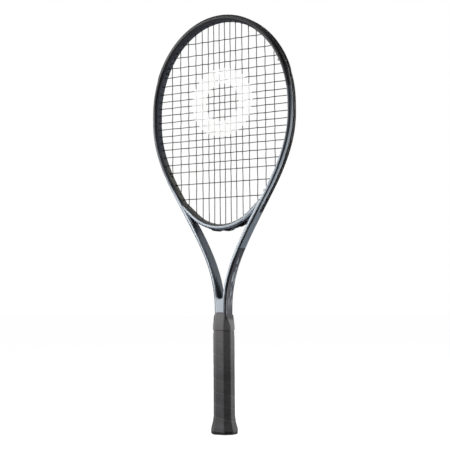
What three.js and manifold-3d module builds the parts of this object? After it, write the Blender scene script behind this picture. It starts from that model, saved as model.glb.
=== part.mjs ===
// Tennis racket, strung, head up.
// Frame: X across the face, Y through the thickness (front is -Y), Z along the length, origin at the
// middle of the butt end. All lengths are millimetres.
//
// One hollow hairpin tube makes the hoop, the two arms, the shaft and the core of the handle. A bridge
// closes the hoop above the throat. Four grommet strips line the string holes, one string makes the
// mains and one the crosses, and the handle is built up on the hairpin's two ends.

import * as THREE from 'three';
import { mergeVertices } from 'three/addons/utils/BufferGeometryUtils.js';
import Module from 'manifold-3d';

// ---------------------------------------------------------------- driving dimensions

const LENGTH = 685.8;            // 27 in, the standard length of an adult racket
const GAP = 0.3;                 // clearance between pieces that touch

// hairpin centreline, left half, as (distance from the middle, height)
const BUMPER_PROUD = 1.0;        // bumper guard standing out of the hoop's outer face
const HOOP_HALF_WIDTH = 127.6;   // centreline at the widest point
const HOOP_WIDEST_Z = 529;
const LEG_X = 7.0;               // the two ends of the hairpin inside the handle
const LEG_BOTTOM_Z = 9;
const SHAFT_TOP_Z = 200;         // the legs start to spread here
const SHOULDER = { x: 86.2, z: 391.6, lean: 31 };   // where hoop becomes arm, leaning out in degrees
const HANDLES = { shaft: 66, arm: 92, hoopLow: 88, hoopHigh: 24 };   // Bezier handle lengths

// tube section: half width across the wall, half depth, and the bevels (across, deep)
const SECTION = {
  handle: { a: 3.2, b: 6.8, outer: [2.0, 2.0], inner: [1.2, 1.3] },
  shaft: { a: 3.5, b: 12.0, outer: [3.9, 2.0], inner: [1.2, 1.3] },
  arm: { a: 3.5, b: 11.2, outer: [1.9, 1.6], inner: [1.2, 1.3] },
  hoop: { a: 4.7, b: 10.8, outer: [2.6, 4.6], inner: [2.6, 4.6] },
};
const SECTION_AT = [             // height along the racket at which each section holds
  [0, SECTION.handle], [187, SECTION.handle], [196, SECTION.shaft], [209, SECTION.shaft],
  [240, SECTION.arm], [330, SECTION.arm], [385, SECTION.hoop], [LENGTH, SECTION.hoop],
];
const TUBE_WALL = 1.2;
const STEP = { leg: 60, spread: 15, hoop: 15, loop: 11, ledge: 0.02 };   // longest stretch between sections
const BEYOND = 5;                // a cutter reaches this far past the piece it cuts

// web that joins the two legs at the foot of the throat
const WEB = { halfWidth: 4.7, bottom: 188, top: 223, notchZ: 223.4, notchRadius: 4.6, notchSides: 16 };

// throat bridge: an arc with straight ends that run into the hoop
const BRIDGE = { radius: 80, z: 334.5, bend: 42, halfLength: 86, steps: 16, pastLastHole: 7, a: 4.7, b: 10.4,
  bevel: [2.6, 4.2] };

// string groove in the outer faces, and the strips that line it
const GROOVE = { halfWidth: 4.6, depth: 2.8, endZ: 341 };
const STRIP = { halfWidth: 4.3, floor: 0.7, ridge: 0.1, channel: 2.1 };
const BUMPER_LIP = { reach: 6.1, foldReach: 8.1, foldDrop: 0.45, edge: 0.2, edgeReach: 8.5, crown: 6.6 };
const BUMPER_END_Z = 573;          // the bumper guard reaches down to here on both sides
const BARREL = { radius: 1.5, bore: 1.05, hole: 1.85, proud: 1.2, past: 3, sides: 5, boreSides: 4 };

// strings
const STRING_RADIUS = 0.65;
const STRING_SIDES = 4;
const LANE = 1.0;                // mains run in one lane of the groove, crosses in the other
const WEAVE = 1.6;               // how far a cross string passes in front of or behind a main
const CORNER = 0.6;              // cut across each right-angle turn of a string
const TIE_OFF = { mains: 19, crossTop: -19, crossFoot: -7.5 };   // from the last hole to the tie-off hole
const CLEAR = { main: 4, cross: 2 };   // a crossing is at least this far from the strings' barrels
const MOUTH = 0.8;               // a string leaves its barrel straight for this far
const KNOT_RADIUS = 1.6;
const MAIN_X = [5, 15.7, 26.1, 37.9, 50.3, 65, 80.5, 97.1];
const CROSS_Z = [645, 624.6, 607.8, 592.6, 578, 564.4, 551.8, 540.5, 528.7, 516.3,
  504.7, 492.8, 481.5, 469.7, 456.5, 442.8, 429.4, 408.6, 383.4];
const BRIDGE_MAINS = 4;          // on each side, counted from the middle
const SHOULDER_EXIT_Z = [346, 364];   // where the fifth and sixth mains leave through the foot of the hoop

// handle octagon over the grip: half width, half depth and 45 degree bevel
const GRIP = { halfX: 16.2, halfY: 14.4, bevel: 8.2, thick: 1.65, top: 172, bottom: 5 };
const GRIP_PITCH = 20;
const GRIP_SEAM = 0.3;
const SEAM_PHASE = 7;            // height of a seam at the middle of the front face
const BLADE = { outer: 1.5, inner: 0.6 };   // reach of the cut that makes the seam, as shares of the handle
const FRONT_FACE = 5;            // its place in the list of the octagon's faces
const PALLET = { bottom: 7, top: 178, capLap: 1.1, capTop: 36 };
const TAPER = { from: 156, shrink: 1.3 };           // handle narrows towards its top
const FLARE = [                                     // height and scale of the butt flare
  [0, 1.13], [1.2, 1.2], [3.2, 1.27], [6, 1.29], [10, 1.275], [15, 1.18], [21, 1.09], [30, 1.0],
];
const CAP = { floor: 3.2, inset: 0.5, lidRadius: 11, lidDepth: 1.6, lid: 1.2, lidSides: 24 };
const STAPLE = { z: 21, width: 9, wire: 1.0, leg: 4.6, sunk: 0.15 };
const TAPE = { bottom: 167.5, top: 173.5, thick: 0.3, gap: 0.2 };
const COLLAR = { bottom: 167, shoulder: 174, top: 197, wall: 0.6 };
const COLLAR_CONE = [                               // height, share of the way in to the shaft
  [174, 0], [178, 0.25], [185, 0.55], [191, 0.85], [197, 1],
];

// ---------------------------------------------------------------- solids

const wasm = await Module();
wasm.setup();

function toSolid(geometry) {
  const bare = geometry.clone();
  bare.deleteAttribute('normal');
  bare.deleteAttribute('uv');
  const merged = mergeVertices(bare, 1e-5);
  return new wasm.Manifold(new wasm.Mesh({
    numProp: 3,
    vertProperties: new Float32Array(merged.attributes.position.array),
    triVerts: new Uint32Array(merged.index.array),
  }));
}

function toGeometry(solid) {
  const mesh = solid.getMesh();
  const geometry = new THREE.BufferGeometry();
  geometry.setAttribute('position', new THREE.Float32BufferAttribute(mesh.vertProperties, 3));
  geometry.setIndex([...mesh.triVerts]);
  geometry.computeVertexNormals();
  return geometry;
}

function join(solids) {
  return solids.reduce((whole, solid) => whole.add(solid));
}

function cut(solid, tools) {
  return tools.reduce((left, tool) => left.subtract(tool), solid);
}

function largestPiece(solid) {
  return solid.decompose().sort((p, q) => q.volume() - p.volume())[0];
}

// triangles that close a flat ring of points, turning the way the ring does
function capOf(ring) {
  const origin = ring[0];
  const u = ring[1].clone().sub(origin).normalize();
  const normal = vector(0, 0, 0);
  ring.forEach((point, i) => normal.add(
    point.clone().sub(origin).cross(ring[(i + 1) % ring.length].clone().sub(origin))));
  const v = normal.normalize().cross(u);
  const flat = ring.map((point) => {
    const arm = point.clone().sub(origin);
    return new THREE.Vector2(arm.dot(u), arm.dot(v));
  });
  return THREE.ShapeUtils.triangulateShape(flat, []).map(([i, j, k]) => {
    const area = flat[j].clone().sub(flat[i]).cross(flat[k].clone().sub(flat[i]));
    return area > 0 ? [i, j, k] : [i, k, j];
  });
}

// skin over rings of points, closed at both ends
function loft(rings) {
  const count = rings[0].length;
  const last = (rings.length - 1) * count;
  const index = [];
  for (let r = 0; r < last; r += count) {
    for (let i = 0; i < count; i += 1) {
      const [a, b] = [r + i, r + ((i + 1) % count)];
      index.push(a, b, b + count, a, b + count, a + count);
    }
  }
  for (const [i, j, k] of capOf(rings[0])) index.push(i, k, j);
  for (const [i, j, k] of capOf(rings[rings.length - 1])) index.push(last + i, last + j, last + k);
  const geometry = new THREE.BufferGeometry();
  geometry.setAttribute('position', new THREE.Float32BufferAttribute(
    rings.flat().flatMap((point) => [point.x, point.y, point.z]), 3));
  geometry.setIndex(index);
  return toSolid(geometry);
}

function cylinder(from, to, radius, sides) {
  const axis = to.clone().sub(from);
  const geometry = new THREE.CylinderGeometry(radius, radius, axis.length(), sides);
  geometry.applyQuaternion(new THREE.Quaternion().setFromUnitVectors(
    new THREE.Vector3(0, 1, 0), axis.clone().normalize()));
  geometry.translate(...from.clone().addScaledVector(axis, 0.5).toArray());
  return toSolid(geometry);
}

function box(low, high) {
  const size = high.map((value, i) => value - low[i]);
  const geometry = new THREE.BoxGeometry(...size);
  geometry.translate(...low.map((value, i) => value + size[i] / 2));
  return toSolid(geometry);
}

const vector = (x, y, z) => new THREE.Vector3(x, y, z);

// value between the entries of a [position, value] list
function between(list, at, mix) {
  const last = list.findIndex(([position]) => position >= at);
  if (last <= 0) return last === 0 ? list[0][1] : list[list.length - 1][1];
  const [[p, v], [q, w]] = [list[last - 1], list[last]];
  return mix(v, w, (at - p) / (q - p));
}

const mixNumbers = (v, w, k) => v + (w - v) * k;

// ---------------------------------------------------------------- hairpin centreline

const hoopTopZ = LENGTH - BUMPER_PROUD - SECTION.hoop.a;
const lean = THREE.MathUtils.degToRad(SHOULDER.lean);
const leanStep = (length) => [length * Math.sin(lean), length * Math.cos(lean)];

function makeCentreline() {
  const [armX, armZ] = leanStep(HANDLES.arm);
  const [lowX, lowZ] = leanStep(HANDLES.hoopLow);
  const path = new THREE.Path();
  path.moveTo(-LEG_X, LEG_BOTTOM_Z);
  path.lineTo(-LEG_X, SHAFT_TOP_Z);
  path.bezierCurveTo(-LEG_X, SHAFT_TOP_Z + HANDLES.shaft,
    -(SHOULDER.x - armX), SHOULDER.z - armZ, -SHOULDER.x, SHOULDER.z);
  path.bezierCurveTo(-(SHOULDER.x + lowX), SHOULDER.z + lowZ,
    -HOOP_HALF_WIDTH, HOOP_WIDEST_Z - HANDLES.hoopHigh, -HOOP_HALF_WIDTH, HOOP_WIDEST_Z);
  path.absellipse(0, HOOP_WIDEST_Z, HOOP_HALF_WIDTH, hoopTopZ - HOOP_WIDEST_Z, Math.PI, Math.PI / 2, true);
  return path;
}

const centreline = makeCentreline();
const curveEnds = centreline.getCurveLengths();
const halfLength = curveEnds[curveEnds.length - 1];

// place on the left half at a distance from the butt; past the top it carries on down the right half
function place(distance) {
  const mirrored = distance > halfLength;
  const along = (mirrored ? 2 * halfLength - distance : distance) / halfLength;
  const point = centreline.getPoint(along);
  const tangent = centreline.getTangent(along);
  if (along === 1) tangent.set(1, 0);
  const side = mirrored ? -1 : 1;
  return {
    distance,
    at: vector(point.x * side, 0, point.y),
    out: vector(-tangent.y * side, 0, tangent.x),
  };
}

const offset = (spot, n, y = 0) => spot.at.clone().addScaledVector(spot.out, n).setY(y);

function mixSections(v, w, k) {
  const pair = (p, q) => p.map((value, i) => mixNumbers(value, q[i], k));
  return {
    a: mixNumbers(v.a, w.a, k),
    b: mixNumbers(v.b, w.b, k),
    outer: pair(v.outer, w.outer),
    inner: pair(v.inner, w.inner),
  };
}

const sectionAt = (z) => between(SECTION_AT, z, mixSections);

// distances from the butt at which the tube gets a section
function stationsOf(from, to) {
  const stops = [0, curveEnds[0], curveEnds[2], halfLength];
  const steps = [STEP.leg, STEP.spread, STEP.hoop];
  const keyZ = SECTION_AT.map(([z]) => z).filter((z) => z > LEG_BOTTOM_Z && z < SHAFT_TOP_Z);
  const list = keyZ.map((z) => z - LEG_BOTTOM_Z);
  steps.forEach((step, i) => {
    const parts = Math.ceil((stops[i + 1] - stops[i]) / step);
    for (let k = 0; k <= parts; k += 1) list.push(stops[i] + (stops[i + 1] - stops[i]) * (k / parts));
  });
  const all = [...list, ...list.map((distance) => 2 * halfLength - distance)];
  const inside = all.filter((distance) => distance > from + 2 && distance < to - 2);
  return [...new Set([from, ...inside, to])].sort((p, q) => p - q);
}

// sweep of an outline of (out, depth) points; the outline may depend on the height
function sweep(from, to, outline) {
  return loft(stationsOf(from, to).map((distance) => {
    const spot = place(distance);
    return outline(spot.at.z).map(([n, y]) => offset(spot, n, y)).reverse();
  }));
}

// distance from the butt where the curve offset by n meets a value, searched in a monotone stretch
function findDistance(from, to, n, measure) {
  let [low, high] = [from, to];
  const rising = measure(offset(place(high), n)) > measure(offset(place(low), n));
  for (let i = 0; i < 40; i += 1) {
    const middle = (low + high) / 2;
    if ((measure(offset(place(middle), n)) > 0) === rising) high = middle;
    else low = middle;
  }
  return (low + high) / 2;
}

const distanceAtZ = (z) => findDistance(0, halfLength, 0, (point) => point.z - z);

// ---------------------------------------------------------------- hairpin and bridge

function octagon({ a, b, outer, inner }, grow = 0) {
  const [n, y] = [a + grow, b + grow];
  const half = [[n, y - outer[1]], [n - outer[0], y], [-n + inner[0], y], [-n, y - inner[1]]];
  return [...half, ...half.map(([p, q]) => [p, -q]).reverse()];
}

// a lozenge that stays clear of the string groove where the section is wide enough to have one
const CAVITY = { groovedFrom: 4, flatShare: 0.45, extraWall: 0.6 };

function cavity({ a, b }) {
  const outside = a - TUBE_WALL - (a > CAVITY.groovedFrom ? GROOVE.depth : 0);
  const inside = -a + TUBE_WALL;
  const [flat, deep] = [b * CAVITY.flatShare, b - TUBE_WALL - CAVITY.extraWall];
  const half = [[outside, flat], [(outside + inside) / 2, deep], [inside, flat]];
  return [...half, ...half.map(([p, q]) => [p, -q]).reverse()];
}

const mirror = (solid) => solid.mirror([1, 0, 0]);

function tube(outline, extend = 0) {
  const rings = stationsOf(0, halfLength).map((distance) => {
    const spot = place(distance);
    if (distance === 0) spot.at.z -= extend;
    return outline(spot.at.z).map(([n, y]) => offset(spot, n, y)).reverse();
  });
  const left = loft(rings);
  return left.add(mirror(left));
}

const grooveStart = distanceAtZ(GROOVE.endZ);
const bumperStart = distanceAtZ(BUMPER_END_Z);

function grooveOutline(a) {
  const [half, floor, open] = [GROOVE.halfWidth, a - GROOVE.depth, a + BEYOND];
  return [[open, half], [floor, half], [floor, -half], [open, -half]];
}

function grooveCutter() {
  return sweep(grooveStart, 2 * halfLength - grooveStart, (z) => grooveOutline(sectionAt(z).a));
}

function legWeb() {
  const ring = (z) => {
    const { b } = sectionAt(z);
    const w = WEB.halfWidth;
    return [vector(-w, -b, z), vector(w, -b, z), vector(w, b, z), vector(-w, b, z)];
  };
  const levels = SECTION_AT.map(([z]) => z).filter((z) => z > WEB.bottom && z < WEB.top);
  const block = loft([WEB.bottom, ...levels, WEB.top].map(ring));
  const [front, back] = [-20, 20].map((y) => vector(0, y, WEB.notchZ));
  return block.subtract(cylinder(front, back, WEB.notchRadius, WEB.notchSides));
}

const bridgeCentreZ = BRIDGE.z + BRIDGE.radius;
const bridgeBend = THREE.MathUtils.degToRad(BRIDGE.bend);

// place on the bridge at a distance from its middle; out points away from the hoop, into the throat
function bridgePlace(distance) {
  const angle = THREE.MathUtils.clamp(distance / BRIDGE.radius, -bridgeBend, bridgeBend);
  const out = vector(Math.sin(angle), 0, -Math.cos(angle));
  const along = vector(Math.cos(angle), 0, Math.sin(angle));
  const at = vector(0, 0, bridgeCentreZ).addScaledVector(out, BRIDGE.radius)
    .addScaledVector(along, distance - angle * BRIDGE.radius);
  return { at, out };
}

function bridgeSweep(half, steps, outline) {
  const rings = [];
  for (let k = 0; k <= steps; k += 1) {
    const spot = bridgePlace(half * (1 - (2 * k) / steps));
    rings.push(outline.map(([n, y]) => offset(spot, n, y)).reverse());
  }
  return loft(rings);
}

const bridgeGrooveHalf = MAIN_X[BRIDGE_MAINS - 1] + BRIDGE.pastLastHole;

function makeBridge(holes) {
  const section = { a: BRIDGE.a, b: BRIDGE.b, outer: BRIDGE.bevel, inner: BRIDGE.bevel };
  const groove = bridgeSweep(bridgeGrooveHalf, BRIDGE.steps / 2, grooveOutline(BRIDGE.a));
  const arc = bridgeSweep(BRIDGE.halfLength, BRIDGE.steps, octagon(section));
  const envelope = tube((z) => octagon(sectionAt(z), GAP));
  return largestPiece(cut(largestPiece(arc.subtract(envelope)), [groove, ...holes]));
}

// ---------------------------------------------------------------- string ports

// A port is where a string passes the frame: its inner point at the barrel's tip, its outer point in
// the channel of the strip, and the barrel's foot on the strip's floor.
const floorTop = (a) => a - GROOVE.depth + GAP + STRIP.floor;
const stringHeight = (a) => floorTop(a) + GAP + STRING_RADIUS;

function hoopPort(distance, lane) {
  const spot = place(distance);
  const { a } = sectionAt(spot.at.z);
  return {
    distance,
    lane,
    inner: offset(spot, -a - BARREL.proud),
    foot: offset(spot, floorTop(a), lane),
    outer: offset(spot, stringHeight(a), lane),
  };
}

// distance along the bridge where its upper face, raised by the barrel, is at x
function bridgeDistance(x) {
  const radius = BRIDGE.radius - BRIDGE.a - BARREL.proud;
  const arcX = radius * Math.sin(bridgeBend);
  if (Math.abs(x) < arcX) return Math.asin(x / radius) * BRIDGE.radius;
  return Math.sign(x) * (bridgeBend * BRIDGE.radius + (Math.abs(x) - arcX) / Math.cos(bridgeBend));
}

function bridgePort(x, lane) {
  const spot = bridgePlace(bridgeDistance(x));
  return {
    onBridge: bridgeDistance(x),
    lane,
    inner: offset(spot, -BRIDGE.a - BARREL.proud),
    foot: offset(spot, floorTop(BRIDGE.a), lane),
    outer: offset(spot, stringHeight(BRIDGE.a), lane),
  };
}

// the barrels of the fifth and sixth mains run from the bridge's upper face through the foot of the hoop
function shoulderPort(number) {
  const onHoop = hoopPort(distanceAtZ(SHOULDER_EXIT_Z[number - BRIDGE_MAINS]), -LANE);
  const { inner } = bridgePort(-MAIN_X[number], -LANE);
  const back = inner.clone().sub(onHoop.foot).normalize();
  return { ...onHoop, inner, outer: onHoop.foot.clone().addScaledVector(back, -(GAP + STRING_RADIUS)) };
}

function mirrorPort(port) {
  const flip = (point) => vector(-point.x, point.y, point.z);
  return {
    ...port,
    distance: 2 * halfLength - port.distance,
    inner: flip(port.inner),
    foot: flip(port.foot),
    outer: flip(port.outer),
  };
}

const innerOffset = -SECTION.hoop.a - BARREL.proud;
const hoopFootZ = 380;           // holes below this may pass the ends of the bridge too
const widest = curveEnds[2];

function mainPorts(side, number) {
  const x = MAIN_X[number];
  const face = (port) => (side < 0 ? port : mirrorPort(port));
  const meets = (from, to) => hoopPort(findDistance(from, to, innerOffset, (p) => p.x + x), -LANE);
  const top = face(meets(widest, halfLength));
  if (number < BRIDGE_MAINS) return { top, bottom: bridgePort(side * x, -LANE) };
  if (number < BRIDGE_MAINS + SHOULDER_EXIT_Z.length) return { top, bottom: face(shoulderPort(number)) };
  return { top, bottom: face(meets(grooveStart, widest)) };
}

function crossPorts(z) {
  const left = hoopPort(findDistance(grooveStart, halfLength, innerOffset, (p) => p.z - z), LANE);
  return { left, right: mirrorPort(left) };
}

const mains = [
  ...MAIN_X.map((x, i) => ({ x: -x, ...mainPorts(-1, i) })).reverse(),
  ...MAIN_X.map((x, i) => ({ x, ...mainPorts(1, i) })),
];
const crosses = CROSS_Z.map((z) => ({ z, ...crossPorts(z) }));

const tieOff = (port, step) => hoopPort(port.distance + step, port.lane);
const ties = {
  mainStart: tieOff(mains[0].top, -TIE_OFF.mains),
  mainEnd: tieOff(mains[mains.length - 1].top, TIE_OFF.mains),
  crossStart: tieOff(crosses[0].left, TIE_OFF.crossTop),
  crossEnd: tieOff(crosses[crosses.length - 1].right, TIE_OFF.crossFoot),
};

const bridgePorts = mains.map((main) => main.bottom).filter((port) => port.onBridge !== undefined);
const hoopPorts = [
  ...mains.map((main) => main.top),
  ...mains.map((main) => main.bottom).filter((port) => port.onBridge === undefined),
  ...crosses.flatMap((cross) => [cross.left, cross.right]),
  ...Object.values(ties),
];

const axisOf = (port) => port.outer.clone().sub(port.inner).normalize();

// a cutter along a port's axis, reaching past both of its ends
function drill(port, radius, sides) {
  const axis = axisOf(port);
  return cylinder(port.inner.clone().addScaledVector(axis, -BARREL.past),
    port.outer.clone().addScaledVector(axis, BARREL.past), radius, sides);
}

const portHole = (port) => drill(port, BARREL.hole, BARREL.sides);
const portBore = (port) => drill(port, BARREL.bore, BARREL.boreSides);

function portBarrel(port) {
  const axis = axisOf(port);
  const foot = port.foot.clone().addScaledVector(axis, -STRIP.floor / 2);
  return cylinder(port.inner, foot, BARREL.radius, BARREL.sides);
}

// ---------------------------------------------------------------- grommet strips

function stripOutline(a) {
  const [bottom, top, floor] = [a - GROOVE.depth + GAP, a - STRIP.ridge, floorTop(a)];
  const { halfWidth: wide, channel } = STRIP;
  const half = [[bottom, wide], [top, wide], [top, channel], [floor, channel]];
  return [...half.slice().reverse(), ...half.map(([n, y]) => [n, -y])];
}

// the bumper also covers the hoop's outer face and folds over its bevels
function bumperOutline(a) {
  const [bottom, top, floor] = [a - GROOVE.depth + GAP, a + BUMPER_PROUD, floorTop(a)];
  const { halfWidth: wide, channel } = STRIP;
  const { reach, foldReach, foldDrop, edge, edgeReach, crown } = BUMPER_LIP;
  const half = [[bottom, wide], [a + GAP, wide], [a + GAP, reach], [a - foldDrop, foldReach],
    [a + edge, edgeReach], [top, crown], [top, channel], [floor, channel]];
  return [...half.slice().reverse(), ...half.map(([n, y]) => [n, -y])];
}

function withBarrels(base, ports) {
  return cut(join([base, ...ports.map(portBarrel)]), ports.map(portBore));
}

const within = (from, to) => (port) => port.distance > from && port.distance < to;

function makeBumper() {
  const [from, to] = [bumperStart, 2 * halfLength - bumperStart];
  const base = sweep(from, to, (z) => bumperOutline(sectionAt(z).a));
  return withBarrels(base, hoopPorts.filter(within(from, to)));
}

function makeSideStrip(side) {
  const [from, to] = [grooveStart + 1, bumperStart - 2 * GAP];
  const left = sweep(from, to, (z) => stripOutline(sectionAt(z).a));
  const range = side < 0 ? [from, to] : [2 * halfLength - to, 2 * halfLength - from];
  return withBarrels(side < 0 ? left : mirror(left), hoopPorts.filter(within(...range)));
}

function makeBridgeStrip() {
  const base = bridgeSweep(bridgeGrooveHalf - GAP, BRIDGE.steps / 2, stripOutline(BRIDGE.a));
  return withBarrels(base, bridgePorts);
}

// ---------------------------------------------------------------- strings

// straight pieces between listed points, each section square to the bisector of its corner
class StringRoute extends THREE.Curve {
  constructor(points) {
    super();
    this.points = points;
  }

  getPoint(t) {
    const place01 = t * (this.points.length - 1);
    const i = Math.min(Math.floor(place01 + 1e-9), this.points.length - 2);
    return this.points[i].clone().lerp(this.points[i + 1], Math.max(0, place01 - i));
  }

  getPointAt(u) {
    return this.getPoint(u);
  }

  getTangentAt(u) {
    const i = Math.round(u * (this.points.length - 1));
    const [here, last] = [this.points[i], this.points.length - 1];
    const before = i > 0 ? here.clone().sub(this.points[i - 1]).normalize() : vector(0, 0, 0);
    const after = i < last ? this.points[i + 1].clone().sub(here).normalize() : vector(0, 0, 0);
    return before.add(after).normalize();
  }
}

function stringSolid(points) {
  const shape = new THREE.Shape();
  for (let i = 0; i < STRING_SIDES; i += 1) {
    const angle = (2 * Math.PI * i) / STRING_SIDES;
    const corner = [STRING_RADIUS * Math.cos(angle), STRING_RADIUS * Math.sin(angle)];
    if (i === 0) shape.moveTo(...corner);
    else shape.lineTo(...corner);
  }
  shape.closePath();
  const steps = points.length - 1;
  return toSolid(new THREE.ExtrudeGeometry(shape, { steps, extrudePath: new StringRoute(points) }));
}

// cuts the right-angle turn at a point between its two neighbours
function turn(before, corner, after) {
  const step = (towards) => corner.clone().add(
    towards.clone().sub(corner).setLength(Math.min(CORNER, towards.distanceTo(corner) / 3)));
  return [step(before), step(after)];
}

// points in the hoop's channel between two ports, without the ports themselves
function hoopLoop(first, second) {
  const span = second.distance - first.distance;
  const parts = Math.ceil(Math.abs(span) / STEP.loop);
  const points = [];
  for (let k = 1; k < parts; k += 1) {
    const spot = place(first.distance + (span * k) / parts);
    points.push(offset(spot, stringHeight(sectionAt(spot.at.z).a), first.lane));
  }
  return points;
}

function bridgeLoop(first, second) {
  const spot = bridgePlace((first.onBridge + second.onBridge) / 2);
  return [offset(spot, stringHeight(BRIDGE.a), first.lane)];
}

const mouth = (port) => port.inner.clone().addScaledVector(axisOf(port), -MOUTH);

// out through one port, along the channel and in through the next
function crossOver(first, second) {
  const middle = first.onBridge === undefined ? hoopLoop(first, second) : bridgeLoop(first, second);
  const channel = [first.outer, ...middle, second.outer];
  return [
    mouth(first),
    ...turn(first.inner, first.outer, channel[1]),
    ...middle,
    ...turn(channel[channel.length - 2], second.outer, second.inner),
    mouth(second),
  ];
}

// a tied end comes back inside the hoop and stops in its knot
function knotPoint(port) {
  return port.inner.clone().addScaledVector(axisOf(port), -KNOT_RADIUS - GAP);
}

function knot(port) {
  const geometry = new THREE.IcosahedronGeometry(KNOT_RADIUS, 0);
  geometry.translate(...knotPoint(port).toArray());
  return toSolid(geometry);
}

function tiedString(start, runs, end, links) {
  const points = [knotPoint(start), ...crossOver(start, runs[0].from)];
  runs.forEach((run, i) => {
    points.push(...run.between);
    const next = runs[i + 1];
    if (next) points.push(...links(run.to, next.from));
  });
  points.push(...crossOver(runs[runs.length - 1].to, end), knotPoint(end));
  return join([stringSolid(points), knot(start), knot(end)]);
}

// Mains: M1 to M8 on each side from the middle. The serpentine joins the two M1 over the top, M1 to M2
// and M3 to M4 under the bridge, and ends at the top of both outer mains.
function makeMainString() {
  const runs = mains.map((main, i) => {
    const down = i % 2 === 0;
    const [from, to] = down ? [main.top, main.bottom] : [main.bottom, main.top];
    return { from, to, between: [] };
  });
  return tiedString(ties.mainStart, runs, ties.mainEnd, crossOver);
}

function makeCrossString() {
  const runs = crosses.map((cross, row) => {
    const rightward = row % 2 === 0;
    const met = mains.map((main, i) => ({ main, over: (i + row) % 2 === 0 ? -1 : 1 }))
      .filter(({ main }) => cross.z > main.bottom.inner.z + CLEAR.main)
      .filter(({ main }) => cross.z < main.top.inner.z - CLEAR.main)
      .filter(({ main }) => Math.abs(main.x) < Math.abs(cross.left.inner.x) - CLEAR.cross);
    const points = met.map(({ main, over }) => vector(main.x, over * WEAVE, cross.z));
    const [from, to] = rightward ? [cross.left, cross.right] : [cross.right, cross.left];
    return { from, to, between: rightward ? points : points.reverse() };
  });
  return tiedString(ties.crossStart, runs, ties.crossEnd, crossOver);
}

// ---------------------------------------------------------------- handle

// a 45 degree bevel loses this share of the depth its octagon is pulled in by
const BEVEL_SHARE = 2 - Math.SQRT2;

const flareScale = (z) => (z >= FLARE[FLARE.length - 1][0] ? 1 : between(FLARE, z, mixNumbers));

// the octagon of the handle at a height, pulled in by a depth below the grip's outer face
function handleCorners(z, depth) {
  const scale = flareScale(z);
  const narrow = TAPER.shrink * THREE.MathUtils.smoothstep(z, TAPER.from, GRIP.top);
  const x = GRIP.halfX * scale - narrow - depth;
  const y = GRIP.halfY * scale - narrow - depth;
  const bevel = GRIP.bevel * scale - (narrow + depth) * BEVEL_SHARE;
  return [[x, y - bevel], [x - bevel, y], [-x + bevel, y], [-x, y - bevel],
    [-x, -y + bevel], [-x + bevel, -y], [x - bevel, -y], [x, -y + bevel]];
}

function handleLoft(levels) {
  return loft(levels.map(([z, depth]) => handleCorners(z, depth).map(([x, y]) => vector(x, y, z))));
}

const palletDepth = GRIP.thick + TAPE.gap;
const JOIN = 0.01;                                  // how far two solids run into each other to be one
const HANDLE_LEVELS = [...FLARE.map(([z]) => z), TAPER.from, 161, 165, TAPE.bottom, GRIP.top];

// every level where the handle's outline changes, between two heights
function levelsFrom(low, high, depth) {
  const inside = HANDLE_LEVELS.filter((z) => z > low + 0.5 && z < high - 0.5);
  return [low, ...inside, high].map((z) => [z, depth]);
}

function palletCore(clearance) {
  const x = LEG_X + SECTION.handle.a + clearance;
  const y = SECTION.handle.b + clearance;
  return box([-x, -y, PALLET.bottom - BEYOND], [x, y, PALLET.top + BEYOND]);
}

function makePallet(front) {
  const lapDepth = palletDepth + PALLET.capLap;
  const lapTop = PALLET.capTop + GAP;
  const body = handleLoft(levelsFrom(lapTop, PALLET.top, palletDepth));
  const lapCorners = handleCorners(lapTop, lapDepth);
  const lapEnds = [PALLET.bottom, lapTop + JOIN];
  const lap = loft(lapEnds.map((z) => lapCorners.map(([x, y]) => vector(x, y, z))));
  const [wide, high] = [2 * GRIP.halfX, PALLET.top + BEYOND];
  const [low, top] = front ? [-GAP / 2, wide] : [-wide, GAP / 2];
  const otherHalf = [[-wide, low, 0], [wide, top, high]];
  return cut(body.add(lap), [palletCore(GAP), box(...otherHalf), ...staplePockets()]);
}

function makeButtCap() {
  const shoulderZ = GRIP.bottom - GAP;
  const flangeLevels = [...FLARE.map(([z]) => z).filter((z) => z < shoulderZ), shoulderZ];
  const flange = flangeLevels.map((z) => [z, CAP.inset]);
  const neck = levelsFrom(GRIP.bottom, PALLET.capTop, palletDepth).slice(1);
  const inner = handleCorners(PALLET.capTop, palletDepth + PALLET.capLap - GAP);
  const hollow = loft([CAP.floor, PALLET.capTop + BEYOND].map((z) => inner.map(([x, y]) => vector(x, y, z))));
  const lidSeat = cylinder(vector(0, 0, -1), vector(0, 0, CAP.lidDepth), CAP.lidRadius, CAP.lidSides);
  const body = handleLoft([...flange, [shoulderZ + STEP.ledge, palletDepth], ...neck]);
  return cut(body, [hollow, lidSeat, ...staplePockets()]);
}

function makeButtLid() {
  return cylinder(vector(0, 0, GAP), vector(0, 0, GAP + CAP.lid), CAP.lidRadius - GAP, CAP.lidSides);
}

// staples lie flat in the cap's two sides, with their legs in the pallets
function stapleSolid(side, grow) {
  const crownX = handleCorners(STAPLE.z, palletDepth)[0][0] - STAPLE.sunk;
  const { wire, width, leg, z } = STAPLE;
  const [half, thick] = [width / 2 + grow, wire / 2 + grow];
  const across = (x0, x1) => (side > 0 ? [x0, x1] : [-x1, -x0]);
  const [c0, c1] = across(crownX - wire - grow, crownX + (grow && BEYOND));
  const [l0, l1] = across(crownX - leg - grow, crownX - wire / 2);
  const crown = box([c0, -half, z - thick], [c1, half, z + thick]);
  const legs = [-1, 1].map((end) => {
    const inside = end * (width / 2 - wire);
    const outside = end * (width / 2);
    const [y0, y1] = [Math.min(inside, outside) - grow, Math.max(inside, outside) + grow];
    return box([l0, y0, z - thick], [l1, y1, z + thick]);
  });
  return join([crown, ...legs]);
}

function staplePockets() {
  return [-1, 1].map((side) => stapleSolid(side, GAP));
}

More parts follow.
